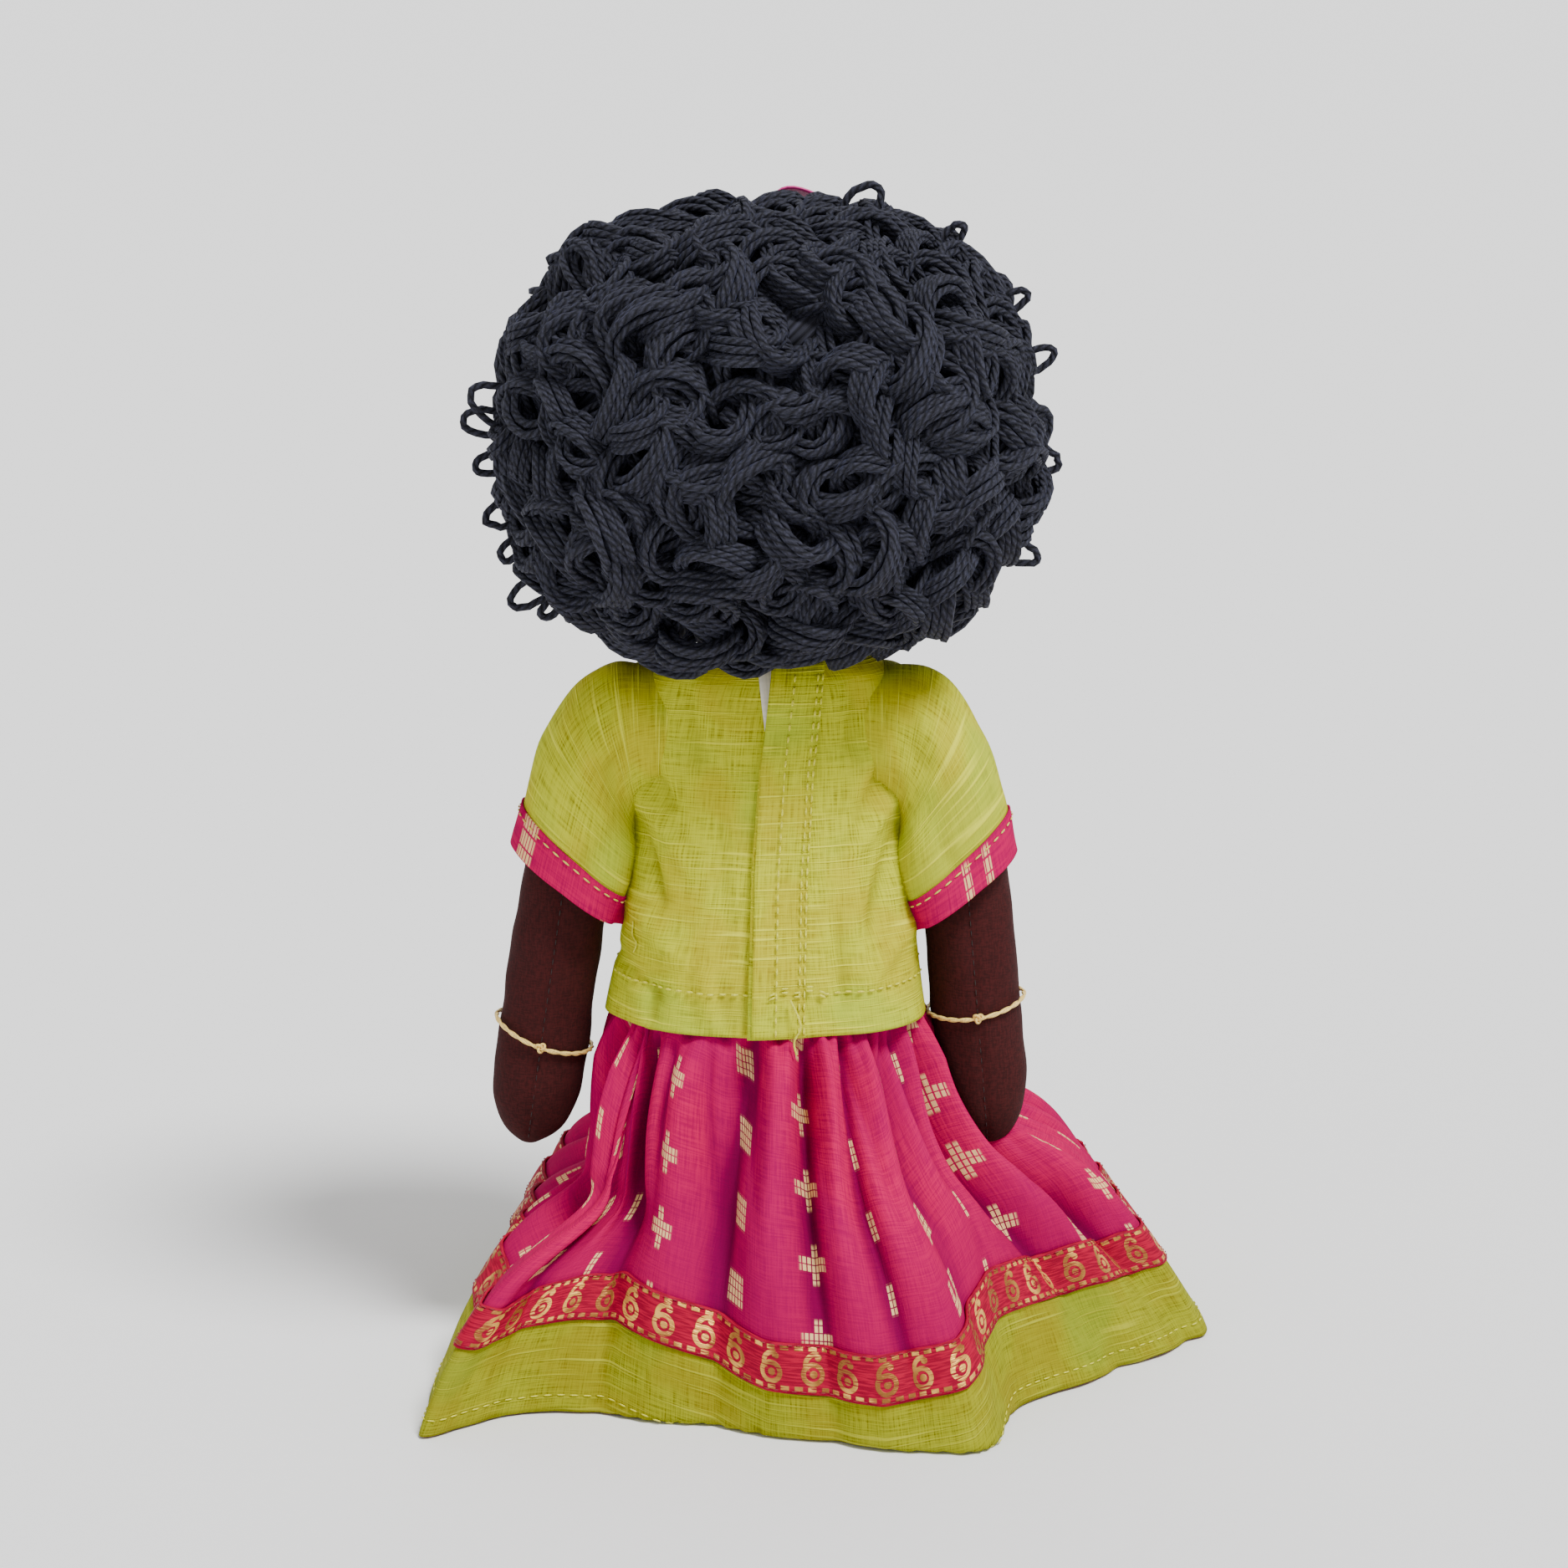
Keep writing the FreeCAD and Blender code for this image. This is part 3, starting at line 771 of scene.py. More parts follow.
HAIR_BASE_CENTRE = np.array([0.0, 2.0, 247.0])
HAIR_BASE_RADII = np.array([58.4, 48.0, 48.0])
HAIR_SQUARENESS = 2.6
FACE_MIDDLE_Z = 238.0
FACE_RADII = (37.0, 41.0)
NECK_GAP_RADIUS = 35.0
HAIR_LUMPS = 0.07
HAIR_REGIONS = ("crown", "left", "right", "back", "fringe")
# strands side by side in a skein, how far apart they lie, and how far apart its two layers are
STRAND_ROW = 4
STRAND_PITCH = 1.95
LAYER_GAP = 2.1


def skein_strands(seed):
    """One skein: a few strands of yarn looped over together, standing on z = 0."""
    chance = np.random.default_rng(seed)
    lean = math.radians(chance.uniform(34, 72))
    half_span = chance.uniform(7.5, 11.0)
    height = chance.uniform(12.5, 16.5)
    swirl = chance.uniform(-0.8, 0.8)
    out = np.array([0.0, math.sin(lean), math.cos(lean)])
    beside = np.array([0.0, math.cos(lean), -math.sin(lean)])
    strands = []
    for k in range(2 * STRAND_ROW):
        across = (k % STRAND_ROW - 1.5) * STRAND_PITCH + chance.uniform(-0.3, 0.3)
        under = (k // STRAND_ROW) * LAYER_GAP + chance.uniform(-0.3, 0.3)
        t = np.linspace(-0.12, 1.12, 12) * math.pi
        wide = -(half_span - under) * np.cos(t) * (1 + 0.30 * np.sin(t))
        tall = (height - under) * np.sin(t)
        twist = swirl * np.sin(t)
        x = wide * np.cos(twist * 0.6) - across * np.sin(twist)
        e = across * np.cos(twist) + wide * 0.25 * np.sin(twist)
        path = np.outer(x, [1, 0, 0]) + np.outer(tall, out) + np.outer(e, beside)
        path[:, 2] = np.where(path[:, 2] < 0, path[:, 2] * 0.5, path[:, 2])
        strands.append(path + chance.normal(0, 0.16, path.shape))
    return strands


def skein_kinds(count, material):
    """A loose collection of different skeins for the scatter tree to pick from."""
    group = bpy.data.collections.new("skein kinds")
    radius = sizes().yarn / MM / 2
    for seed in range(count):
        strands = skein_strands(seed + 11)
        mesh = tube_mesh(f"skein {seed}", strands, [[radius] * len(s) for s in strands], sides=5)
        mesh.materials.append(material)
        mesh.shade_smooth()
        group.objects.link(bpy.data.objects.new(f"skein {seed}", mesh))
    return group


def drop_skein_kinds(group):
    for piece in list(group.objects):
        mesh = piece.data
        bpy.data.objects.remove(piece)
        bpy.data.meshes.remove(mesh)
    bpy.data.collections.remove(group)


def on_hair_base(direction):
    direction = np.asarray(direction, float)
    reach = (np.abs(direction) ** HAIR_SQUARENESS).sum() ** (-1 / HAIR_SQUARENESS)
    reach *= 1 + HAIR_LUMPS * max(0.0, noise.noise(Vector(direction) * 3.1) + 0.1)
    return HAIR_BASE_CENTRE + direction * HAIR_BASE_RADII * reach


def has_hair(point):
    """False over the face and round the neck."""
    x, y, z = point
    face = (x / FACE_RADII[0]) ** 2 + ((z - FACE_MIDDLE_Z) / FACE_RADII[1]) ** 2 < 1 and y < 0
    neck = math.hypot(x, y + 4) < NECK_GAP_RADIUS and z < 230
    return not (face or neck)


def hair_region(direction):
    x, y, z = direction
    if z > 0.55:
        return "crown"
    if abs(x) > 0.62:
        return "left" if x > 0 else "right"
    return "back" if y > 0 else "fringe"


def sphere_quads(around, up):
    """The corners of every quad of a sphere as directions, in rings from the bottom up."""
    for r in range(up):
        for c in range(around):
            quad = []
            for dr, dc in ((0, 0), (0, 1), (1, 1), (1, 0)):
                tilt = math.pi * (r + dr) / up
                turn = 2 * math.pi * (c + dc) / around
                wide = math.sin(tilt)
                quad.append((wide * math.cos(turn), wide * math.sin(turn), -math.cos(tilt)))
            yield quad


def hair_base(region):
    """The part of the scalp that one region's skeins stand on."""
    mesh = bpy.data.meshes.new(f"scalp {region}")
    verts, faces = [], []
    for quad in sphere_quads(72, 40):
        middle = np.mean(quad, axis=0)
        middle /= np.linalg.norm(middle)
        if hair_region(middle) == region and has_hair(on_hair_base(middle)):
            first = len(verts)
            verts += [tuple(on_hair_base(d) * MM) for d in quad]
            faces.append((first, first + 1, first + 2, first + 3))
    mesh.from_pydata(verts, [], faces)
    join_outwards(mesh, Vector(HAIR_BASE_CENTRE * MM))
    return mesh


def join_outwards(mesh, centre):
    """Welds the quads of a mesh and turns them away from the centre."""
    joined = bmesh.new()
    joined.from_mesh(mesh)
    bmesh.ops.remove_doubles(joined, verts=joined.verts, dist=1e-6)
    bmesh.ops.recalc_face_normals(joined, faces=joined.faces)
    joined.faces.ensure_lookup_table()
    first = joined.faces[0]
    if first.normal.dot(first.calc_center_median() - centre) < 0:
        bmesh.ops.reverse_faces(joined, faces=joined.faces)
    joined.to_mesh(mesh)
    joined.free()


# side, lift above level in degrees, half width, height and tilt of each loose loop
LOOSE_LOOPS = [
    (1, 8, 4.6, 11.5, 0.5), (1, 3, 3.0, 13.0, 0.2), (1, -7, 2.4, 9.5, -0.4), (1, -20, 2.6, 10.5, 0.3),
    (1, -27, 2.1, 9.0, -0.3), (1, -38, 2.8, 11.5, 0.2), (1, -43, 1.9, 8.5, -0.5), (-1, 33, 2.2, 9.5, 0.3),
    (-1, 18, 2.4, 10.5, -0.4), (-1, -6, 3.0, 10.0, 0.4), (-1, -29, 2.4, 10.0, -0.2), (-1, 71, 4.0, 10.5, 0.5),
    (-1, 52, 1.8, 8.5, 0.1),
]


def flyaway_loops():
    """Single loops of yarn that stand out round the edge of the hair."""
    chance = np.random.default_rng(5)
    loops = []
    for side, lift, half_span, height, tilt in LOOSE_LOOPS:
        angle = math.radians(lift)
        direction = np.array([side * math.cos(angle), chance.uniform(-0.05, 0.15), math.sin(angle)])
        direction /= np.linalg.norm(direction)
        foot = on_hair_base(direction) + direction * 6
        along = np.cross(direction, [0, 1, 0])
        along = along / np.linalg.norm(along) + tilt * direction
        t = np.linspace(-0.1, 1.1, 17) * math.pi
        path = foot + np.outer(-half_span * np.cos(t) * (1 + 0.55 * np.sin(t)), along)
        path = path + np.outer(height * np.sin(t), direction)
        loops.append(path + chance.normal(0, 0.18, path.shape))
    return loops


class DOLL_OT_hair(bpy.types.Operator):
    """Looped yarn hair in skeins on the scalp, with loose loops round its edge"""
    bl_idname = "doll.hair"
    bl_label = "Yarn hair"

    def execute(self, context):
        kinds = skein_kinds(9, palette().hair)
        for seed, region in enumerate(HAIR_REGIONS):
            piece = new_piece(f"hair_{region}", hair_base(region), palette().hair)
            grow(piece, tree("skein", skein_tree), {
                "Skeins": kinds, "Gap": sizes().skein_gap, "Smallest": 0.86, "Largest": 1.06,
                "Seed": seed + 3, "Yarn": palette().hair})
            piece.data.shade_smooth()
            settle(piece, "head", "hair_yarn", "hair")
        drop_skein_kinds(kinds)
        loops = flyaway_loops()
        radius = sizes().yarn / MM / 2
        mesh = tube_mesh("hair_loose_loops", loops, [[radius] * len(p) for p in loops], sides=6)
        settle(new_piece("hair_loose_loops", mesh, palette().hair), "head", "hair_yarn")
        self.cap()
        return {"FINISHED"}

    def cap(self):
        """The dark knitted cap that the skeins are sewn to."""
        verts, faces = [], []
        mesh = bpy.data.meshes.new("hair_cap_cloth")
        for region in HAIR_REGIONS:
            part = hair_base(region)
            first = len(verts)
            verts += [tuple(v.co) for v in part.vertices]
            faces += [tuple(first + i for i in f.vertices) for f in part.polygons]
            bpy.data.meshes.remove(part)
        mesh.from_pydata(verts, [], faces)
        layer = mesh.uv_layers.new(name="cloth")
        for loop in mesh.loops:
            place = mesh.vertices[loop.vertex_index].co
            layer.data[loop.index].uv = (place.x + place.z, place.y)
        piece = new_piece("hair_cap_cloth", mesh, palette().hair)
        thicken(piece, CAP_CLOTH)
        settle(piece, "head", "hair_yarn", "hair_cap")


# ---------------------------------------------------------------- head, face and neck

HEAD_CENTRE = np.array([0.0, 0.0, 247.0])
HEAD_RADII = np.array([49.0, 45.5, 49.0])
CHIN_Z = 193.5
EYE_X = 16.0
EYE_Z = 246


def head_point(turn, tilt):
    """A point on the stuffed head; turn 0 faces +X, tilt 0 is the chin end and pi the crown."""
    radii = HEAD_RADII.copy()
    if tilt < math.pi / 2:
        radii[2] = HEAD_CENTRE[2] - CHIN_Z
    full = np.array([math.sin(tilt) * math.cos(turn), math.sin(tilt) * math.sin(turn), -math.cos(tilt)])
    return HEAD_CENTRE + full * radii


def face_point(x, z, lift=0.0):
    """The point on the front of the head at a height and a distance from the middle."""
    rz = HEAD_CENTRE[2] - CHIN_Z if z < HEAD_CENTRE[2] else HEAD_RADII[2]
    inside = 1 - (x / HEAD_RADII[0]) ** 2 - ((z - HEAD_CENTRE[2]) / rz) ** 2
    y = -HEAD_RADII[1] * math.sqrt(max(inside, 0.0))
    return np.array([x, y - lift, z])


def face_patch(name, outline, lift, material, body, slot, *nodes):
    """A domed patch of embroidery on the face inside an outline of x, z points."""
    outline = np.asarray(outline, float)
    middle = outline.mean(axis=0)
    rings = [1.0, 0.93, 0.75, 0.5, 0.25, 0.02]
    grid = []
    for k, share in enumerate(rings):
        rise = lift * math.sin(min(1.0, k / 3) * math.pi / 2)
        grid.append([face_point(*(middle + (p - middle) * share), rise) for p in outline])
    grid = np.array(grid)
    uv = np.stack([grid[..., 0], grid[..., 2]], axis=-1)
    uv = np.concatenate([uv, uv[:, :1]], axis=1)
    mesh = grid_mesh(name, grid, uv, wrap=True)
    close_ends(mesh)
    return settle(new_piece(name, mesh, material), body, slot, *nodes)


def oval_outline(x, z, rx, rz, point=1.0, count=28):
    turns = circle(count)
    wide = np.cos(turns)
    tall = np.sin(turns) * (1 - (1 - point) * np.abs(wide) ** 1.5)
    return np.stack([x + rx * wide, z + rz * tall], axis=1)


class DOLL_OT_head(bpy.types.Operator):
    """Stuffed head with an embroidered face, and the neck under it"""
    bl_idname = "doll.head"
    bl_label = "Head and neck"

    def execute(self, context):
        rows, columns = 40, 72
        tilts = np.linspace(0.02, math.pi - 0.02, rows)[::-1]
        turns = circle(columns)
        grid = np.array([[head_point(t, a) for t in turns] for a in tilts])
        grid = lumpy(grid, size=14, depth=0.5, seed=2)
        uv = flat_uv(np.linspace(0, 300, columns + 1), np.linspace(0, 160, rows))
        mesh = grid_mesh("head_cloth", grid, uv, wrap=True)
        close_ends(mesh)
        head = new_piece("head_cloth", mesh, palette().body)
        settle(head, "head", "brown_cotton", "head_skin", "head_stuffing")
        self.face()
        self.neck()
        return {"FINISHED"}

    def face(self):
        for side, sign in SIDES.items():
            self.eye(side, sign * EYE_X)
        smile = oval_outline(0, 224, 8.0, 2.4, 0.35)
        smile[:, 1] += 0.045 * smile[:, 0] ** 2
        face_patch("mouth_stitching", smile, 0.8, palette().crimson_thread, "head", "red_thread", "mouth")
        face_patch("forehead_dot_stitching", oval_outline(0, 266, 2.3, 2.3), 0.9,
                   palette().crimson_thread, "head", "red_thread", "forehead_dot")

    def eye(self, side, x):
        """An embroidered eye with its glint, upper rim and brow."""
        white, black = palette().white_thread, palette().black_thread
        face_patch(f"eye_white_{side}", oval_outline(x, EYE_Z, 7.6, 4.3, 0.45), 0.7,
                   white, "head", "white_thread", f"eye_{side}")
        face_patch(f"eye_dark_{side}", oval_outline(x, EYE_Z, 3.3, 3.6), 1.1, black, "head", "white_thread")
        face_patch(f"eye_glint_{side}", oval_outline(x + 1.0, EYE_Z + 1.3, 0.9, 0.9), 1.4,
                   white, "head", "white_thread")
        across = np.linspace(-8, 8, 15)
        arc = [face_point(x + d, 253.5 - 0.045 * d * d, 0.5) for d in across]
        rim = [face_point(x + d, EYE_Z + 4.6 * (1 - (d / 8.2) ** 2), 0.6) for d in across]
        tube = tube_mesh(f"brow_{side}", [arc, rim], [[0.55] * 15, [0.6] * 15], sides=8)
        settle(new_piece(f"brow_{side}", tube, black), "head", "white_thread")

    def neck(self):
        rows, columns = 14, 40
        heights = np.linspace(200, 176, rows)
        turns = circle(columns)
        grid = []
        for z in heights:
            radius = 11.0 + 1.8 * ((z - 188) / 12) ** 2
            grid.append([(radius * math.cos(t), radius * math.sin(t), z) for t in turns])
        grid = np.array(grid)
        grid = lumpy(grid, size=5, depth=0.35, seed=4)
        uv = flat_uv(np.linspace(0, 70, columns + 1), np.linspace(0, 24, rows))
        mesh = grid_mesh("neck_cloth", grid, uv, wrap=True)
        close_ends(mesh)
        neck = new_piece("neck_cloth", mesh, palette().body)
        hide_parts("neck_skin", "neck_stuffing")
        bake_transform(neck)


RIBBON_ROWS = 9


class DOLL_OT_bow(bpy.types.Operator):
    """Pink ribbon bow on top of the hair: two folded loops, a knot and two tails"""
    bl_idname = "doll.bow"
    bl_label = "Ribbon bow"

    centre = np.array([-19.5, -33.0, 297.8])

    def execute(self, context):
        for side, sign in SIDES.items():
            t = np.linspace(0, 2 * math.pi, 29)
            reach = sign * (1 - np.cos(t)) * 9.0
            rise = np.sin(t) * 4.6 * (1 - 0.35 * np.cos(t))
            self.ribbon(f"ribbon_loop_{side}", reach, rise, 5.2, 0.42, f"bow_loop_{side}")
        t = np.linspace(0, 2 * math.pi, 25)
        self.ribbon("ribbon_knot", 2.6 * np.cos(t), 3.4 * np.sin(t), 5.0, 0.9, "bow_knot")
        for side, sign in SIDES.items():
            t = np.linspace(0, 1, 13)
            nodes = ("bow_tails",) if sign > 0 else ()
            drop = -3 - 4.0 * t + 1.2 * np.sin(6 * t)
            self.ribbon(f"ribbon_tail_{side}", sign * (1 + 9 * t), drop, 5.0, 0.9, *nodes)
        return {"FINISHED"}

    def ribbon(self, name, reach, rise, half_width, narrowest, *nodes):
        """A strip of ribbon whose middle line runs in the bow's own plane, gathered near the knot."""
        rows = []
        for share in np.linspace(-1, 1, RIBBON_ROWS):
            pinch = np.clip(np.abs(reach) / 7, narrowest, 1)
            lean = half_width * share * pinch
            rows.append(np.stack([reach, lean * 0.86, rise + lean * 0.5 + 0.22 * reach], axis=1))
        grid = np.array(rows) + self.centre
        uv = flat_uv(np.linspace(0, 40, grid.shape[1]), np.linspace(0, 10, RIBBON_ROWS))
        piece = new_piece(name, grid_mesh(name, grid, uv), palette().ribbon)
        thicken(piece, THIN_CLOTH)
        run = float(np.linalg.norm(np.diff(grid[RIBBON_ROWS // 2], axis=0), axis=1).sum())
        settle(piece, "head", "pink_ribbon", *nodes)


# ---------------------------------------------------------------- blouse

# from the neckline down to the hem: height, half width, half depth
BLOUSE = [
    (192.4, 14.0, 12.6), (191.4, 21.0, 15.0), (188.8, 28.0, 17.4), (183.5, 33.4, 19.6), (172.0, 36.0, 21.6),
    (158.0, 36.4, 23.6), (143.0, 36.8, 26.0), (129.0, 37.6, 28.6), (117.0, 38.8, 31.2), (106.0, 40.2, 33.6),
    (96.0, 41.6, 35.4),
]
SQUARENESS = 2.35
# height and place of the free edge of the back opening
OPENING_EDGE = [(192.0, -1.6), (180.0, -0.4), (164.0, 1.4), (138.0, 3.0), (95.0, 3.8)]
PLACKET_WIDTH = 13.2
NECK_DIP = 3.2
HEM_TURNING = 11.0
# a place beyond either side of the blouse, for panels that end at its side
PAST_SIDE = 99.0
# heights between which the closure strips run
CLOSURE_TOP = 190.0
CLOSURE_BOTTOM = 156.0
# where the left back panel and the loop strip end, under the right panel
UNDER_EDGE_X = -7.0


def blouse_size(z):
    fine = smooth_keys(BLOUSE, np.linspace(0, 1, 200))[::-1]
    return np.interp(z, fine[:, 0], fine[:, 1]), np.interp(z, fine[:, 0], fine[:, 2])


def opening_edge(z):
    keys = np.array(OPENING_EDGE)[::-1]
    return np.interp(z, keys[:, 0], keys[:, 1])


def blouse_at(x, z, lift=0.0):
    """The point on the back of the blouse at x and z, lifted off it."""
    half_width, half_depth = blouse_size(z)
    inside = np.clip(1 - np.abs(x / half_width) ** SQUARENESS, 0.0, 1)
    y = half_depth * inside ** (1 / SQUARENESS)
    flat = np.stack(np.broadcast_arrays(x, y + lift, z), axis=-1)
    return flat + blouse_waves(flat)


# creases on the back: x and z of both ends, half width, depth (below zero is a hollow)
CREASES = [
    (37, 168, 24, 152, 2.6, -1.5), (36, 158, 18, 136, 2.4, 1.2), (35, 148, 27, 126, 2.2, -1.5),
    (38, 128, 20, 112, 3.0, 1.1), (40, 112, 26, 103, 2.0, -1.0), (22, 184, 18, 164, 3.4, -0.9),
    (12, 150, 9, 112, 4.0, -0.8), (-37, 168, -22, 150, 2.6, -1.5), (-36, 157, -20, 140, 2.2, 1.1),
    (-35, 146, -25, 118, 2.6, -1.5), (-39, 122, -22, 106, 2.6, 1.0), (-24, 184, -21, 166, 3.2, -1.0),
    (-18, 128, -21, 100, 3.2, -0.9), (16, 112, 14, 97, 2.6, 0.9), (30, 106, 31, 96, 2.2, -0.9),
]
CREASE_STRENGTH = 1.6


def creasing(points):
    """How far the creases lift or sink the cloth at each point."""
    x, z = points[..., 0], points[..., 2]
    total = np.zeros(x.shape)
    for x0, z0, x1, z1, half_width, depth in CREASES:
        run = np.array([x1 - x0, z1 - z0], float)
        share = ((x - x0) * run[0] + (z - z0) * run[1]) / (run @ run)
        near = np.clip(share, 0, 1)
        away = np.hypot(x - x0 - near * run[0], z - z0 - near * run[1])
        fade = np.sin(np.pi * np.clip(share * 0.9 + 0.1, 0, 1)) ** 0.5
        total += CREASE_STRENGTH * depth * np.exp(-(away / half_width) ** 2) * fade
    return total


def neck_dip(points):
    """The neckline lies a little lower at the front, under the chin."""
    lower = NECK_DIP * np.clip((points[..., 2] - 184) / 8, 0, 1) * np.clip(-points[..., 1] / 10, 0, 1)
    return points - lower[..., None] * np.array([0, 0, 1])


def blouse_waves(points):
    """Small pulls, creases and hollows in the well-used cloth, and a wavy hem."""
    points = np.asarray(points, float)
    turn = np.arctan2(points[..., 1], points[..., 0])
    low = np.clip((118 - points[..., 2]) / 25, 0, 1)
    flare = low * (0.9 * np.sin(5 * turn + 0.8) + 0.5 * np.sin(9 * turn))
    shape = ripple(points * np.array([1, 1, 0.6]), size=13, depth=1.0, seed=3) + flare
    side_pull = np.exp(-((np.abs(points[..., 0]) - 31) / 4.5) ** 2)
    side_pull = side_pull * np.clip((points[..., 2] - 96) / 50, 0, 1)
    side_pull = side_pull * np.clip((174 - points[..., 2]) / 14, 0, 1)
    shape = shape - 0.5 * side_pull + creasing(points)
    outward = np.stack([np.cos(turn), np.sin(turn), np.zeros_like(turn)], axis=-1)
    return outward * shape[..., None]


def blouse_panel(name, x_from, x_to, columns, front=False, lift=None):
    """A panel between two sides, each a function of height; lift is a function of x and height."""
    rows = 70
    keys = smooth_keys(BLOUSE, np.linspace(0, 1, rows))
    grid, uv = [], []
    for z, half_width, half_depth in keys:
        start = math.acos(np.clip(x_from(z) / half_width, -1, 1))
        end = math.acos(np.clip(x_to(z) / half_width, -1, 1))
        turn = np.linspace(start, end, columns)
        if front:
            turn = -turn[::-1]
        power = 2 / SQUARENESS
        x = half_width * np.sign(np.cos(turn)) * np.abs(np.cos(turn)) ** power
        y = half_depth * np.sign(np.sin(turn)) * np.abs(np.sin(turn)) ** power
        extra = lift(x, z) if lift else 0.0
        row = np.stack([x, y + extra, np.full_like(x, z)], axis=1)
        grid.append(row)
        run = np.r_[0, np.cumsum(np.linalg.norm(np.diff(row, axis=0), axis=1))]
        uv.append(np.stack([run - run[-1] / 2, np.zeros_like(run)], axis=1))
    grid = np.array(grid)
    uv = np.array(uv)
    down = np.r_[0, np.cumsum(np.linalg.norm(np.diff(grid[:, columns // 2], axis=0), axis=1))]
    uv[..., 1] = -down[:, None]
    grid = neck_dip(grid + blouse_waves(grid))
    mesh = grid_mesh(name, grid, uv)
    mark_hollows(mesh, grid, False, reach=3, depth=0.5)
    return mesh


def left_side(z):
    return PAST_SIDE


def right_side(z):
    return -PAST_SIDE


def under_edge(z):
    """Where the left back panel ends, under the right one."""
    return UNDER_EDGE_X


def lapped(x, z):
    """The right back panel rises over the left one near its free edge."""
    from_edge = opening_edge(z) - x
    return 1.7 * np.exp(-np.clip(from_edge, 0, None) / 9.0) + 0.3


class DOLL_OT_blouse(bpy.types.Operator):
    """Blouse of green slub cotton with a lapped back opening"""
    bl_idname = "doll.blouse"
    bl_label = "Blouse"

    def execute(self, context):
        panels = [
            ("blouse_front_cloth", left_side, right_side, 90, True, None, "blouse_front"),
            ("blouse_back_left_cloth", left_side, under_edge, 60, False, None, "blouse_back_left"),
            ("blouse_back_right_cloth", opening_edge, right_side, 60, False, lapped, "blouse_back_right"),
        ]
        for name, start, end, columns, front, lift, node in panels:
            mesh = blouse_panel(name, start, end, columns, front, lift)
            piece = new_piece(name, mesh, palette().green)
            thicken(piece, sizes().cloth)
            settle(piece, "torso", "green_cloth", node)
        self.placket()
        self.closure()
        self.placket_seams()
        self.hem_seam()
        self.loose_threads()
        self.neck_piping()
        return {"FINISHED"}

    def placket(self):
        """The folded band along the free edge of the right back panel."""
        heights = np.linspace(191.0, 96.4, 64)
        grid = []
        for z in heights:
            edge = opening_edge(z)
            x = np.linspace(edge + 0.5, edge - PLACKET_WIDTH, 14)
            grid.append(blouse_at(x, np.full_like(x, z), lapped(x, z) + 0.75))
        grid = np.array(grid)
        uv = flat_uv(np.linspace(200, 200 + PLACKET_WIDTH, 14), heights - 191)
        piece = new_piece("placket_cloth", grid_mesh("placket_cloth", grid, uv), palette().green)
        thicken(piece, sizes().cloth * 1.2)
        settle(piece, "torso", "green_cloth", "placket_flap")

    def closure(self):
        """The cream strips that close the opening, showing as a thin wedge at the top."""
        strips = (
            ("closure_loop_strip", lambda z: 2.9 - 0.12 * (CLOSURE_TOP - z), UNDER_EDGE_X, 0.6, "loop_strip"),
            ("closure_hook_strip", lambda z: opening_edge(z) - 2, -10.0, 1.0, "hook_strip"))
        heights = np.linspace(CLOSURE_TOP, CLOSURE_BOTTOM, 24)
        for name, edge_at, inner, lift, node in strips:
            grid = []
            for z in heights:
                x = np.linspace(max(edge_at(z), inner + 2.0), inner, 10)
                grid.append(blouse_at(x, np.full_like(x, z), lift))
            uv = flat_uv(np.linspace(0, 6, 10), heights - CLOSURE_TOP)
            piece = new_piece(name, grid_mesh(name, np.array(grid), uv), palette().cream)
            thicken(piece, THIN_CLOTH)
            settle(piece, "torso", "cream_tape", node)

    def placket_seams(self):
        """Rows of stitching down the placket and two short ones across its foot."""
        heights = np.linspace(187, 98, 60)
        lines = []
        for inset, lift in ((5.6, 1.6), (11.6, 1.25), (12.9, 1.2)):
            x = opening_edge(heights) - inset
            lines.append(blouse_at(x, heights, lapped(x, heights) + lift))
        tack = np.linspace(-1.0, -14.0, 12)
        for rise in (0.0, 1.0):
            low = np.full_like(tack, 107.5) + 0.8 * np.sin(tack) + rise
            lines.append(blouse_at(tack, low, lapped(tack, low) + 1.5))
        stitches("placket_stitches", lines, palette().green_thread, "torso", "green_cloth")

    def hem_seam(self):
        z = BLOUSE[-1][0] + HEM_TURNING
        half_width, _ = blouse_size(z)
        left = np.linspace(5.5, half_width - 0.5, 40)
        right = np.linspace(-15, -half_width + 0.5, 30)
        around = [blouse_at(left, np.full_like(left, z), 0.7),
                  blouse_at(right, np.full_like(right, z), lapped(right, z) + 0.7)]
        back = blouse_at(np.linspace(-39.5, 39.5, 60), np.full(60, z), 0.7)
        front = [p * np.array([1, -1, 1]) for p in back]
        stitches("blouse_hem_stitches", around + [front], palette().green_thread, "torso", "green_cloth")

    def loose_threads(self):
        """A thread end that hangs from the hem and a short curl on the back."""
        tail = [(-5.6, 37.0, 106.5), (-7.6, 38.6, 102.5), (-8.2, 39.2, 99.5), (-6.6, 39.2, 96.0),
                (-7.2, 39.0, 92.5)]
        fine = smooth_keys(tail, np.linspace(0, 1, 24))
        curl = smooth_keys([(35.0, 122), (35.8, 118.5), (34.6, 116.5), (35.4, 114)], np.linspace(0, 1, 16))
        second = blouse_at(curl[:, 0], curl[:, 1], 1.0)
        ends = tube_mesh("loose_threads", [fine, second], [[0.28] * 24, [0.2] * 16], sides=6)
        settle(new_piece("loose_threads", ends, palette().green_thread), "torso", "green_cloth")

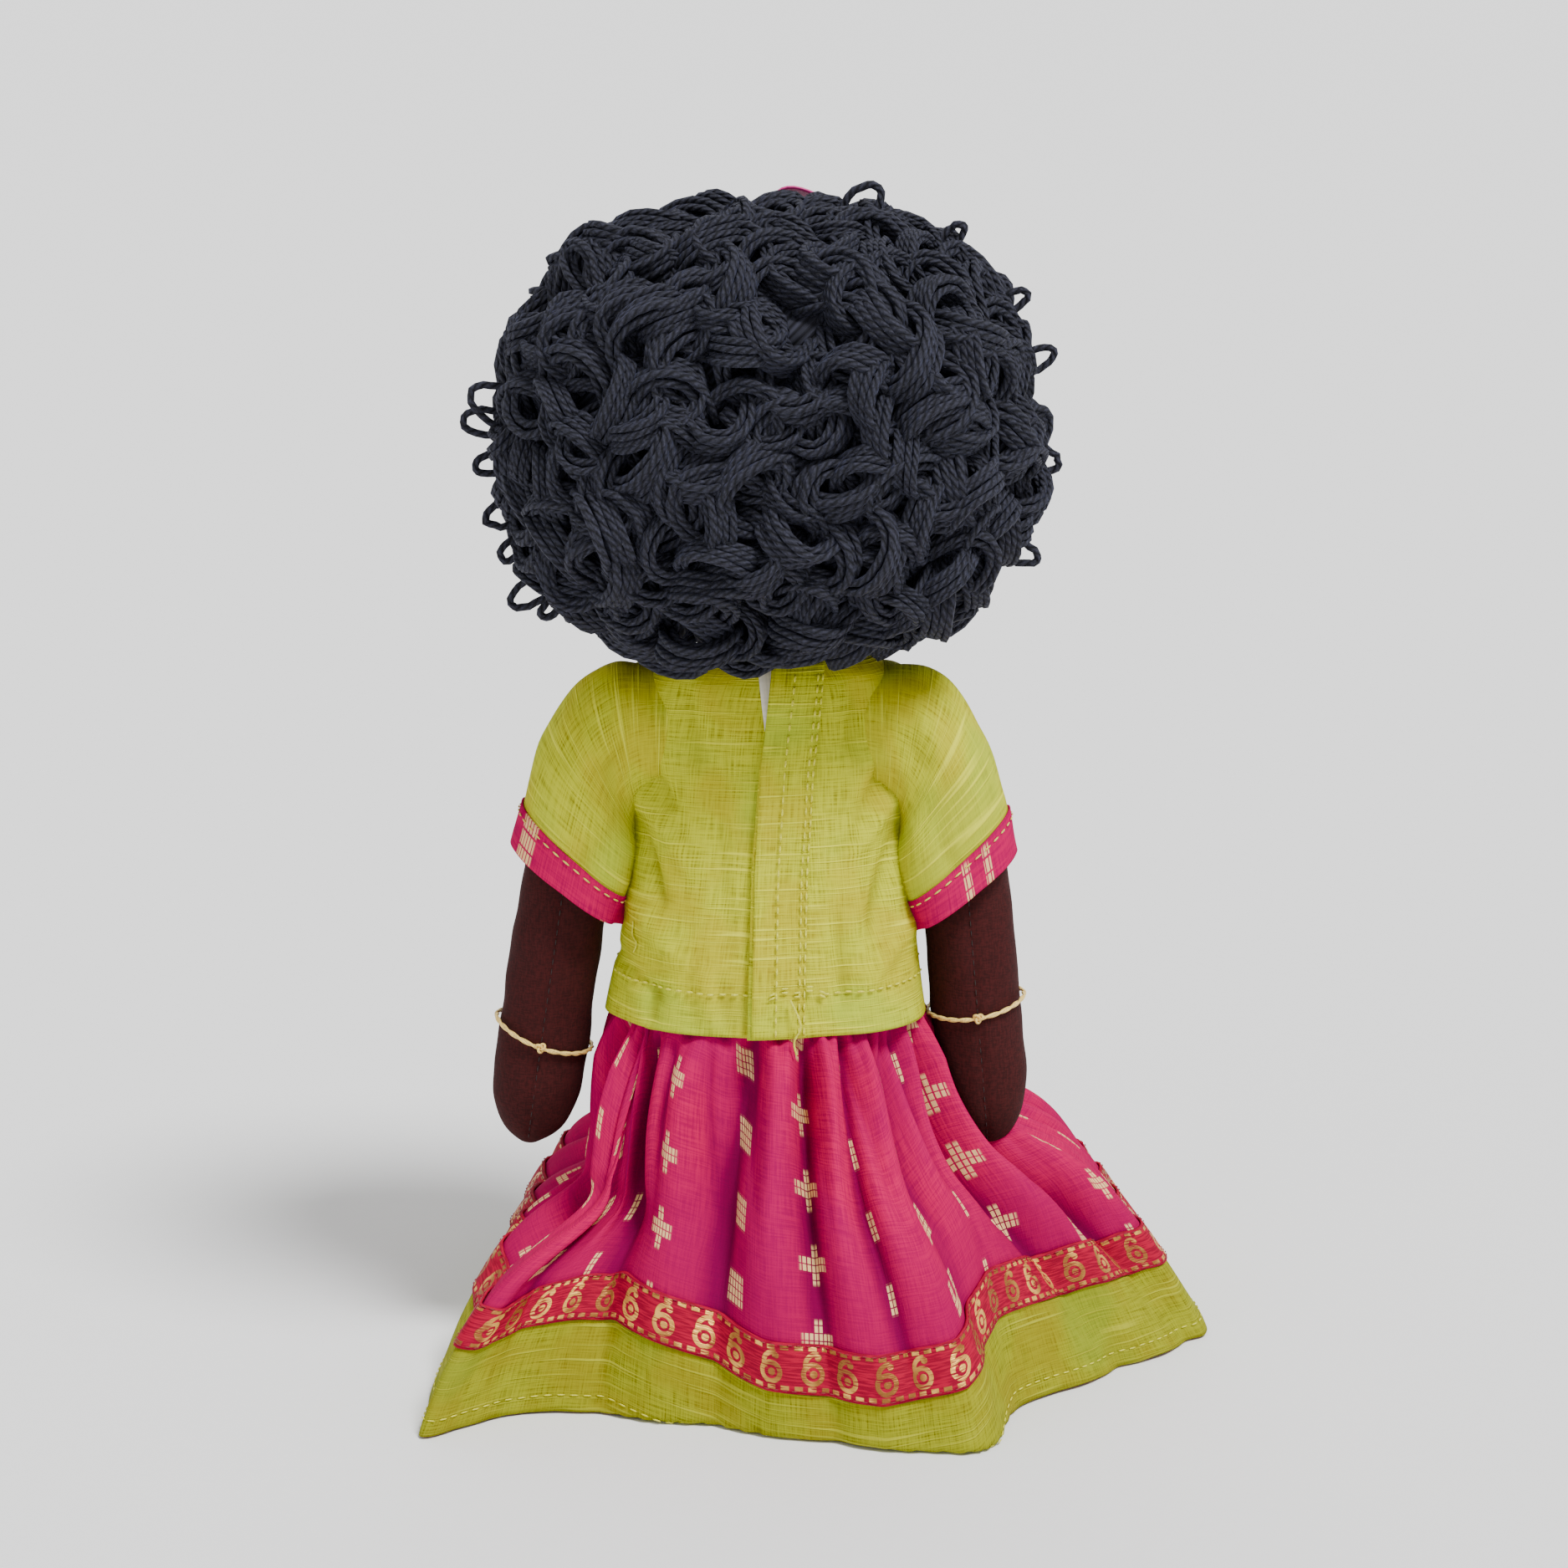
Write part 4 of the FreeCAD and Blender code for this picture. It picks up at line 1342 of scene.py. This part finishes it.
    def neck_piping(self):
        turns = np.linspace(0, 2 * math.pi, 61)
        path = np.stack([14.0 * np.cos(turns), 12.6 * np.sin(turns), np.full_like(turns, 192.6)], axis=1)
        mesh = tube_mesh("neck_piping", [neck_dip(path)], [[1.15] * 61], sides=10)
        settle(new_piece("neck_piping", mesh, palette().piping), "torso", "red_thread", "neck_binding")


# ---------------------------------------------------------------- arms, sleeves and bangles

ARM_TOP = (49.5, 156.0)
ARM_LEAN = {"left": 8.5, "right": 5.0}
# how far down the arm, and its radius there
ARM_SHAPE = [
    (-9.6, 1.0), (-7.6, 6.4), (-3.0, 9.4), (6.0, 10.4), (22.0, 11.1), (42.0, 11.8), (60.0, 11.9),
    (74.0, 12.1), (84.0, 11.7), (91.0, 9.9), (96.0, 6.8), (98.8, 2.6), (99.2, 0.5),
]
# middle of the sleeve in x and z, tilt in degrees, half width and half depth, from shoulder to cuff
SLEEVE = [
    (24.0, 171.0, -4, 16.6, 16.4), (34.0, 169.8, 4, 18.4, 19.8), (42.2, 163.4, 22, 19.0, 20.0),
    (46.9, 150.8, 42, 19.4, 19.0), (52.0, 128.6, 54, 18.8, 17.6),
]
SLEEVE_SHIFT = {"left": (0.0, 0.0), "right": (-2.3, -2.2)}
SLEEVE_LENGTH = 46
SLEEVE_COLUMNS = 72
SLEEVE_FOLDS = 2.1
CUFF_WIDTH = 5.4
BANGLE_DROP = {"left": 68.5, "right": 60.0}
BANGLE_TILT = {"left": 2.6, "right": 1.2}
# radius of a bangle's thread, how far its threads wind out of line, and the room round the arm
BANGLE_THREAD = 0.40
BANGLE_TWIST = 0.26
BANGLE_CLEARANCE = 1.05


def arm_frame(side):
    """The top of the arm, the direction down it and the direction out sideways across it."""
    sign = SIDES[side]
    lean = math.radians(ARM_LEAN[side])
    top = np.array([sign * ARM_TOP[0], 0.0, ARM_TOP[1]])
    down = np.array([sign * math.sin(lean), 0.0, -math.cos(lean)])
    out = np.array([sign * math.cos(lean), 0.0, math.sin(lean)])
    return top, down, out


def arm_radius(drop):
    keys = np.array(ARM_SHAPE)
    return np.interp(drop, keys[:, 0], keys[:, 1])


def sleeve_grid(side, shares, lift):
    sign = SIDES[side]
    shift = np.outer(shares, SLEEVE_SHIFT[side])
    grid = []
    for (x, z, tilt, half_width, half_depth), (aside, rise) in zip(smooth_keys(SLEEVE, shares), shift):
        angle = math.radians(tilt)
        up = np.array([math.sin(angle), 0.0, math.cos(angle)])
        turn = circle(SLEEVE_COLUMNS)
        ring = np.outer(np.cos(turn) * (half_width + lift), up)
        ring = ring + np.outer(np.sin(turn) * (half_depth + lift), [0, 1, 0])
        grid.append(ring + np.array([x + aside, 0, z + rise]))
    grid = np.array(grid)
    out = grid - grid.mean(axis=1, keepdims=True)
    out /= np.linalg.norm(out, axis=2, keepdims=True)
    diagonal = grid @ np.array([0.75, 0.35, 0.55])
    wave = np.sin(diagonal / 4.2 + 1.1 * np.sin(grid[..., 1] / 7))
    folds = SLEEVE_FOLDS * (np.abs(wave) ** 0.7 * np.sign(wave)) * np.clip((grid[..., 0] - 30) / 8, 0, 1)
    folds = folds * np.clip((60 - grid[..., 0]) / 20, 0.12, 1)
    grid = grid + out * (folds + ripple(grid, size=11, depth=0.9, seed=8 + sign))[..., None]
    grid[..., 0] *= sign
    return grid if sign > 0 else grid[:, ::-1]


class DOLL_OT_arms(bpy.types.Operator):
    """Stuffed arms with mitten hands, sleeves with magenta cuffs, and thread bangles"""
    bl_idname = "doll.arms"
    bl_label = "Arms, sleeves and bangles"

    def execute(self, context):
        for side in SIDES:
            self.arm(side)
            self.sleeve(side)
            self.bangle(side)
        return {"FINISHED"}

    def arm(self, side):
        top, down, out = arm_frame(side)
        drops = smooth_keys(ARM_SHAPE, np.linspace(0, 1, 90))
        columns = 64
        turn = circle(columns)
        grid = []
        for drop, radius in drops:
            seam = 0.45 * np.exp(-((turn - math.pi / 2) / 0.075) ** 2) * np.clip(radius / 8, 0, 1)
            ring = np.outer(np.cos(turn) * (radius - seam), out)
            ring = ring + np.outer(np.sin(turn) * (radius - seam), [0, 1, 0])
            grid.append(top + down * drop + ring)
        grid = np.array(grid)
        if side == "right":
            grid = grid[:, ::-1]
        grid = lumpy(grid, size=9, depth=0.55, seed=6)
        uv = flat_uv(np.linspace(0, 75, columns + 1), -drops[:, 0])
        name = f"arm_{side}_cloth"
        mesh = grid_mesh(name, grid, uv, wrap=True)
        close_ends(mesh)
        piece = new_piece(name, mesh, palette().body)
        settle(piece, f"arm_{side}", "brown_cotton", f"arm_{side}_skin", f"arm_{side}_stuffing")
        line = [top + down * d + np.array([0, arm_radius(d) - 0.28, 0]) for d in np.linspace(20, 96, 50)]
        stitches(f"arm_{side}_seam", [line], palette().dark_thread, f"arm_{side}", "brown_cotton",
                 pitch=0.0026, thickness=0.00030)

    def sleeve(self, side):
        rows = 44
        grid = sleeve_grid(side, np.linspace(0, 1, rows), 0.0)
        uv = flat_uv(np.linspace(0, 110, SLEEVE_COLUMNS + 1), -np.linspace(0, 48, rows))
        name = f"sleeve_{side}_cloth"
        mesh = grid_mesh(name, grid, uv, wrap=True)
        mark_hollows(mesh, grid, True, reach=3, depth=0.5)
        piece = new_piece(name, mesh, palette().green)
        thicken(piece, sizes().cloth)
        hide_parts(f"sleeve_{side}")
        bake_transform(piece)
        self.cuff(side)

    def cuff(self, side):
        share = CUFF_WIDTH / SLEEVE_LENGTH
        grid = sleeve_grid(side, np.linspace(1 - share, 1, 9), 0.75)
        lip = sleeve_grid(side, np.linspace(1, 1 - share * 0.5, 5), -0.6)
        whole = np.concatenate([grid, lip])
        across = np.r_[np.linspace(0, CUFF_WIDTH, 9), CUFF_WIDTH + np.linspace(0.6, 3, 5)]
        uv = flat_uv(np.linspace(0, 108, SLEEVE_COLUMNS + 1), -across - 6.4)
        name = f"cuff_{side}_cloth"
        piece = new_piece(name, grid_mesh(name, whole, uv, wrap=True), palette().magenta)
        thicken(piece, THIN_CLOTH)
        settle(piece, f"arm_{side}", "magenta_cloth", f"cuff_{side}")
        top_row = sleeve_grid(side, np.array([1 - share * 0.86]), 1.0)[0]
        line = np.vstack([top_row, top_row[:1]])
        stitches(f"cuff_{side}_stitches", [line], palette().yellow_thread, f"arm_{side}", "magenta_cloth",
                 pitch=0.0034, thickness=0.0005)

    def bangle(self, side):
        """Two threads wound round each other, closed with a little knot."""
        top, down, out = arm_frame(side)
        turns = np.linspace(0, 2 * math.pi, 121)
        paths = []
        for phase in (0, math.pi):
            drop = BANGLE_DROP[side] - BANGLE_TILT[side] * np.cos(turns)
            drop = drop + 1.3 * np.clip(np.sin(turns), 0, 1) ** 2
            wound = 11 * turns + phase
            radius = arm_radius(drop) + BANGLE_CLEARANCE + BANGLE_TWIST * np.cos(wound)
            path = top + np.outer(drop + BANGLE_TWIST * np.sin(wound), down)
            path = path + np.outer(radius * np.cos(turns), out)
            paths.append(path + np.outer(radius * np.sin(turns), [0, 1, 0]))
        at = paths[0][30] + np.array([0, 0.5, 0])
        t = np.linspace(0, 2 * math.pi, 40)
        knot = [np.sin(t) + 2 * np.sin(2 * t), np.cos(t) - 2 * np.cos(2 * t), -np.sin(3 * t)]
        knot = np.stack(knot, axis=1)
        paths.append(at + knot[:, [0, 2, 1]] * 0.42)
        radii = [[BANGLE_THREAD] * 121, [BANGLE_THREAD] * 121, [0.36] * 40]
        name = f"bangle_{side}_threads"
        piece = new_piece(name, tube_mesh(name, paths, radii, sides=7), palette().gold_thread)
        settle(piece, f"bangle_{side}", "bangle_thread", f"bangle_{side}")


# ---------------------------------------------------------------- trunk and legs

# height, middle in y, half width, half depth
TRUNK = [
    (183.0, 0.0, 12.5, 11.5), (180.5, 0.0, 24.0, 13.5), (173.0, 0.0, 31.0, 17.0), (152.0, 0.0, 30.8, 21.5),
    (125.0, 0.0, 30.5, 24.5), (93.0, 0.0, 32.8, 27.0), (60.0, 1.5, 35.5, 28.0), (38.0, 3.5, 36.5, 27.5),
    (28.0, 10.0, 36.5, 22.0), (10.0, 13.5, 36.0, 18.0), (0.6, 13.0, 33.0, 16.5),
]
HIP = (-20.0, 15.0)
LEG_X = 19.0
LEG_DROP = 17.5
LEG_SPREAD = {"left": 15.0, "right": 25.0}
# along the leg, height of its middle line, radius
LEG_SHAPE = [
    (-13.9, 0.0, 1.5), (-11.5, 0.0, 7.8), (-4.0, 0.0, 13.4), (6.0, 0.0, 14.2), (24.0, 0.2, 13.2),
    (42.0, -0.4, 11.7), (52.0, 0.4, 12.2), (58.0, 1.4, 11.6), (62.5, 2.2, 9.4), (65.3, 2.6, 6.0),
    (66.3, 2.8, 1.2),
]


class DOLL_OT_body(bpy.types.Operator):
    """Stuffed trunk under the clothes and stuffed legs under the skirt"""
    bl_idname = "doll.body"
    bl_label = "Trunk and legs"

    def execute(self, context):
        self.trunk()
        for side in SIDES:
            self.leg(side)
        for node in ("hip_seam", "waist_elastic"):
            solid = frame["nodes"][node]
            solid.data.materials.clear()
            solid.data.materials.append(palette().body if node == "hip_seam" else palette().white_thread)
        return {"FINISHED"}

    def trunk(self):
        rows, columns = 80, 72
        turn = circle(columns)
        grid = []
        for z, y, half_width, half_depth in smooth_keys(TRUNK, np.linspace(0, 1, rows)):
            z = max(z, 0.5)
            grid.append([(half_width * math.cos(t), y + half_depth * math.sin(t), z) for t in turn])
        grid = np.array(grid)
        lumps = ripple(grid, size=16, depth=0.7, seed=9)
        lumps[grid[..., 2] < 12] = 0
        grid = grid + grid_normals(grid, True) * lumps[..., None]
        uv = flat_uv(np.linspace(0, 200, columns + 1), np.linspace(0, 190, rows))
        mesh = grid_mesh("trunk_cloth", grid, uv, wrap=True)
        close_ends(mesh)
        piece = new_piece("trunk_cloth", mesh, palette().body)
        settle(piece, "torso", "brown_cotton", "trunk_skin", "trunk_stuffing")

    def leg(self, side):
        sign = SIDES[side]
        shape = smooth_keys(LEG_SHAPE, np.linspace(0, 1, 70))
        path = np.stack([np.zeros(70), -shape[:, 0], shape[:, 1]], axis=1)
        mesh = tube_mesh(f"leg_{side}_cloth", [path], [np.maximum(shape[:, 2], 0.6)], sides=48)
        turn = Matrix.Rotation(math.radians(sign * LEG_SPREAD[side]), 4, "Z")
        place = Matrix.Translation(Vector((sign * LEG_X, HIP[0] - LEG_DROP, HIP[1])) * MM)
        mesh.transform(place @ turn)
        close_ends(mesh)
        piece = new_piece(f"leg_{side}_cloth", mesh, palette().body)
        settle(piece, f"leg_{side}", "brown_cotton", f"leg_{side}_skin", f"leg_{side}_stuffing")


# ---------------------------------------------------------------- skirt

# the hem on the ground, x and y, from the doll's left through the back
HEM = [
    (80, -5), (87, 32), (89, 60), (87, 68), (77, 60), (66, 53), (53, 50), (28, 57), (4, 65), (-21, 74),
    (-43, 79), (-54, 77), (-59, 68), (-62, 57), (-66, 46), (-73, 38), (-85, 28), (-99, 14), (-113, 0),
    (-119, -12), (-113, -56), (-97, -103), (-45, -114), (8, -116), (57, -111), (77, -66),
]
# how far the hem is tucked in under the cloth at the back, by x
HEM_TUCK = [(-64, 0.0), (-52, 8.0), (-30, 13.0), (0, 12.0), (24, 5.0), (42, 0.0)]
WAIST = (39.5, 33.5, 97.0)
# height, and how far out towards the hem at the left, the right, the back and the front
SKIRT = [
    (97.0, 0.00, 0.00, 0.00, 0.00),
    (88.0, 0.02, 0.02, 0.12, 0.14),
    (72.0, 0.09, 0.13, 0.30, 0.42),
    (58.0, 0.12, 0.32, 0.45, 0.64),
    (47.0, 0.18, 0.56, 0.60, 0.80),
    (34.0, 0.60, 0.71, 0.77, 0.93),
    (17.0, 0.86, 0.87, 0.93, 0.99),
    (0.8, 1.00, 1.00, 1.00, 1.00),
]
# how far the border tape lies over the top of the hem band
TAPE_OVERLAP = 0.6
# points round the skirt, rows down it, and rows of the hem that is tucked in
COLUMNS = 640
FINE_ROWS = 120
TUCK_ROWS = 8


def pleat(phase):
    """Round crests with narrow valleys between them, about zero."""
    return np.sqrt(np.cos(phase / 2) ** 2 + 0.012) - 0.66


def skirt_base(hem):
    """The cloth's general shape without its folds, as rows from the waist down."""
    turn = np.arctan2(hem[:, 1], hem[:, 0])
    waist = np.stack([WAIST[0] * np.cos(turn), WAIST[1] * np.sin(turn)], axis=1)
    towards_y = np.sin(turn) ** 4
    rows = []
    for z, left, right, back, front in smooth_keys(SKIRT, np.linspace(0, 1, FINE_ROWS)):
        end = np.where(hem[:, 1] > 0, back, front)
        side = np.where(hem[:, 0] > 0, left, right)
        out = side * (1 - towards_y) + end * towards_y
        flat = waist + (hem - waist) * out[:, None]
        rows.append(np.column_stack([flat, np.full(COLUMNS, z)]))
    return np.array(rows)


def skirt_folds(around_share):
    """How far the cloth stands out from its general shape: deep folds from the waist, calmer below."""
    down = np.linspace(0, 1, FINE_ROWS)[:, None]
    angle = 2 * np.pi * around_share[None, :]
    wander = 1.5 * np.sin(3 * angle + 2.2 * down) + 0.9 * np.sin(7 * angle - 1.5 * down + 1)
    big = pleat(21 * angle + wander + 1.3 * np.sin(4 * down))
    fork = pleat(34 * angle - wander + 1.0)
    small = pleat(61 * angle + 2.1 * wander)
    uneven = 0.75 + 0.35 * np.sin(5 * angle + 0.6)
    calmer = 1 - 0.80 * np.clip((down - 0.50) / 0.42, 0, 1)
    big_depth = 14.5 * np.clip(down / 0.20, 0.1, 1) * calmer * uneven
    fork_depth = 4.5 * np.clip(down / 0.12, 0, 1) * np.exp(-((down - 0.25) / 0.28) ** 2)
    small_depth = 2.6 * np.exp(-down / 0.12) + 0.25
    return (big * big_depth + fork * fork_depth + small * small_depth) * np.clip(down / 0.02, 0.25, 1)


def skirt_surface():
    """The gathered cloth as rows of points from the waist to the hem, in millimetres."""
    hem, around = closed_curve(HEM, COLUMNS)
    base = skirt_base(hem)
    normal = grid_normals(base, True)
    surface = base + normal * skirt_folds(np.arange(COLUMNS) / COLUMNS)[..., None]
    surface[..., 2] = np.maximum(surface[..., 2], 0.8)
    keys = np.array(HEM_TUCK)
    tuck = np.interp(hem[:, 0], keys[:, 0], keys[:, 1], left=0, right=0) * (hem[:, 1] > 0)
    inward = normal[-1, :, :2] / np.linalg.norm(normal[-1, :, :2], axis=1, keepdims=True)
    tucked = []
    for share in np.linspace(1 / TUCK_ROWS, 1, TUCK_ROWS):
        row = surface[-1].copy()
        row[:, :2] -= inward * (tuck * share + 0.02 * share)[:, None]
        tucked.append(row)
    return np.concatenate([surface, tucked]), around


def from_hem(surface, rows_mm, lift):
    """Rows of points at set distances up the cloth from the hem, lifted off its face."""
    steps = np.linalg.norm(np.diff(surface, axis=0), axis=2)
    run = np.vstack([np.zeros(surface.shape[1]), np.cumsum(steps[::-1], axis=0)])
    raised = (surface + lift * grid_normals(surface, True))[::-1]
    rows_mm = np.asarray(rows_mm, float)
    grid = np.empty((len(rows_mm), surface.shape[1], 3))
    for c in range(surface.shape[1]):
        for k in range(3):
            grid[:, c, k] = np.interp(rows_mm, run[:, c], raised[:, c, k])
    return grid


def sink_with_legs(piece):
    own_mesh(piece)


class DOLL_OT_skirt(bpy.types.Operator):
    """Gathered magenta skirt with a paisley border tape, a green hem band and a lining"""
    bl_idname = "doll.skirt"
    bl_label = "Skirt"

    def execute(self, context):
        surface, around = skirt_surface()
        finishes = palette()
        band = sizes().band_depth / MM
        tape = sizes().tape_width / MM
        run = np.linspace(0, around, COLUMNS + 1)
        tape_foot = band - TAPE_OVERLAP
        self.panel(surface, run, band)
        self.strip("hem_band_cloth", surface, run, np.linspace(band + 0.5, 0.0, 18), 0.15,
                   finishes.green_band_shaded, "green_cloth", "hem_band")
        self.strip("border_tape_cloth", surface, run, np.linspace(tape_foot + tape, tape_foot, 12), 0.95,
                   finishes.tape, "border_tape", "border_tape")
        self.strip("skirt_lining_cloth", surface, run, np.linspace(15.0, 0.3, 8), -0.95,
                   finishes.magenta, "magenta_cloth", "skirt_lining")
        self.waistband()
        self.seams(surface, tape_foot, tape)
        return {"FINISHED"}

    def panel(self, surface, run, band):
        """The magenta cloth from the waist to just under the top of the hem band."""
        count = 84
        shares = np.linspace(0, 1, count)
        steps = np.linalg.norm(np.diff(surface, axis=0), axis=2)
        down = np.vstack([np.zeros(COLUMNS), np.cumsum(steps, axis=0)])
        grid = np.empty((count, COLUMNS, 3))
        uv = np.empty((count, COLUMNS + 1, 2))
        uv[..., 0] = run[None, :]
        for c in range(COLUMNS):
            total = down[-1, c]
            want = shares * (total - band + 1.0)
            for k in range(3):
                grid[:, c, k] = np.interp(want, down[:, c], surface[:, c, k])
            uv[:, c, 1] = total - want
        uv[:, COLUMNS, 1] = uv[:, 0, 1]
        mesh = grid_mesh("skirt_cloth", grid, uv, wrap=True)
        mark_hollows(mesh, grid, True, reach=9, depth=1.6)
        piece = new_piece("skirt_cloth", mesh, palette().magenta)
        sink_with_legs(piece)
        settle(piece, "torso", "magenta_cloth", "skirt_panel")

    def strip(self, name, surface, run, rows, lift, material, slot, node):
        """A strip all round the hem; rows are its distances up the cloth."""
        grid = from_hem(surface, rows, lift)
        grid[..., 2] = np.maximum(grid[..., 2], 0.45)
        across = (rows - rows[-1])[:, None] * np.ones(COLUMNS + 1)[None, :]
        uv = np.stack([np.tile(run, (len(rows), 1)), across], axis=-1)
        piece = new_piece(name, grid_mesh(name, grid, uv, wrap=True), material)
        thicken(piece, BORDER_CLOTH)
        sink_with_legs(piece)
        settle(piece, "torso", slot, node)

    def waistband(self):
        columns = 160
        turn = circle(columns)
        small = 0.5 * pleat(40 * turn)
        x = (36.4 + small) * np.cos(turn)
        y = (30.0 + small) * np.sin(turn)
        grid = np.array([np.stack([x, y, np.full(columns, z)], axis=1) for z in np.linspace(104, 95, 8)])
        uv = flat_uv(np.linspace(0, 220, columns + 1), np.linspace(10, 0, 8))
        mesh = grid_mesh("waistband_cloth", grid, uv, wrap=True)
        piece = new_piece("waistband_cloth", mesh, palette().magenta)
        thicken(piece, sizes().cloth)
        settle(piece, "torso", "magenta_cloth", "waistband")

    def seams(self, surface, tape_foot, tape):
        grid = from_hem(surface, [tape_foot + tape - 0.7, tape_foot + 0.7], 1.15)
        lines = [np.vstack([row, row[:1]]) for row in grid]
        piece = stitches("tape_stitches", lines, palette().crimson_thread, "torso", "border_tape",
                         pitch=0.0024, thickness=0.0003)
        hem = from_hem(surface, [4.2], 0.35)[0]
        loop = np.vstack([hem, hem[:1]])
        second = stitches("hem_stitches", [loop], palette().green_thread, "torso", "green_cloth",
                          pitch=0.0034, thickness=0.00042)
        for sewn in (piece, second):
            sink_with_legs(sewn)


# ---------------------------------------------------------------- stage

class DOLL_OT_stage(bpy.types.Operator):
    """Pale floor, soft lights and the camera"""
    bl_idname = "doll.stage"
    bl_label = "Stage"

    def execute(self, context):
        self.floor()
        self.light("key", (-0.62, 0.66, 1.45), 18, 4.3)
        self.light("fill", (0.9, 0.9, 0.5), 50, 0.35)
        self.light("front", (0.1, -1.1, 0.7), 60, 0.8)
        self.camera()
        world = bpy.data.worlds.new("studio")
        world.use_nodes = True
        world.node_tree.nodes["Background"].inputs[0].default_value = (0.9, 0.9, 0.9, 1)
        world.node_tree.nodes["Background"].inputs[1].default_value = 0.62
        context.scene.world = world
        return {"FINISHED"}

    def floor(self):
        mesh = bpy.data.meshes.new("floor")
        half = 150.0
        corners = [(-half, -half, 0), (half, -half, 0), (half, half, 0), (-half, half, 0)]
        mesh.from_pydata(corners, [], [(0, 1, 2, 3)])
        floor = bpy.data.objects.new("floor", mesh)
        bpy.context.scene.collection.objects.link(floor)
        s = Shader("pale floor", 0.95)
        x, y, _ = s.place()
        grain = s.speckle(x, y, 0.2, 0.2)
        s.colour(s.mix(grain, (0.90, 0.90, 0.90), (0.92, 0.92, 0.92)))
        mesh.materials.append(s.material)

    def light(self, name, place, softness, power):
        """A far soft light that shines from place towards the doll."""
        data = bpy.data.lights.new(name, "SUN")
        data.angle = math.radians(softness)
        data.energy = power
        lamp = bpy.data.objects.new(name, data)
        bpy.context.scene.collection.objects.link(lamp)
        lamp.location = place
        lamp.rotation_euler = (-Vector(place)).to_track_quat("-Z", "Y").to_euler()

    def camera(self):
        data = bpy.data.cameras.new("camera")
        data.sensor_width = 36.0
        data.lens = 87.7
        camera = bpy.data.objects.new("camera", data)
        bpy.context.scene.collection.objects.link(camera)
        target = Vector((-0.004, 0.0, 0.155))
        distance = 1.0
        lift = math.radians(12.0)
        camera.location = target + Vector((0, distance * math.cos(lift), distance * math.sin(lift)))
        camera.rotation_euler = (target - camera.location).to_track_quat("-Z", "Y").to_euler()
        bpy.context.scene.camera = camera


# ---------------------------------------------------------------- add-on

OPERATORS = (
    DOLL_OT_body, DOLL_OT_head, DOLL_OT_hair, DOLL_OT_bow, DOLL_OT_blouse, DOLL_OT_arms, DOLL_OT_skirt,
    DOLL_OT_stage,
)


class DOLL_PT_panel(bpy.types.Panel):
    """Lists the doll's pieces in the order in which they are made"""
    bl_label = "Cloth doll"
    bl_idname = "DOLL_PT_panel"
    bl_space_type = "VIEW_3D"
    bl_region_type = "UI"
    bl_category = "Doll"

    def draw(self, context):
        for settings in (context.scene.doll_sizes, context.scene.doll_colours):
            for name in type(settings).__annotations__:
                self.layout.prop(settings, name)
        for operator in OPERATORS:
            self.layout.operator(operator.bl_idname)


CLASSES = (DollSizes, DollColours, *OPERATORS, DOLL_PT_panel)


def register():
    for item in CLASSES:
        bpy.utils.register_class(item)
    bpy.types.Scene.doll_sizes = bpy.props.PointerProperty(type=DollSizes)
    bpy.types.Scene.doll_colours = bpy.props.PointerProperty(type=DollColours)


def unregister():
    del bpy.types.Scene.doll_colours
    del bpy.types.Scene.doll_sizes
    for item in reversed(CLASSES):
        bpy.utils.unregister_class(item)


def main():
    register()
    for operator in OPERATORS:
        group, name = operator.bl_idname.split(".")
        getattr(getattr(bpy.ops, group), name)()


if __name__ == "__main__":
    main()
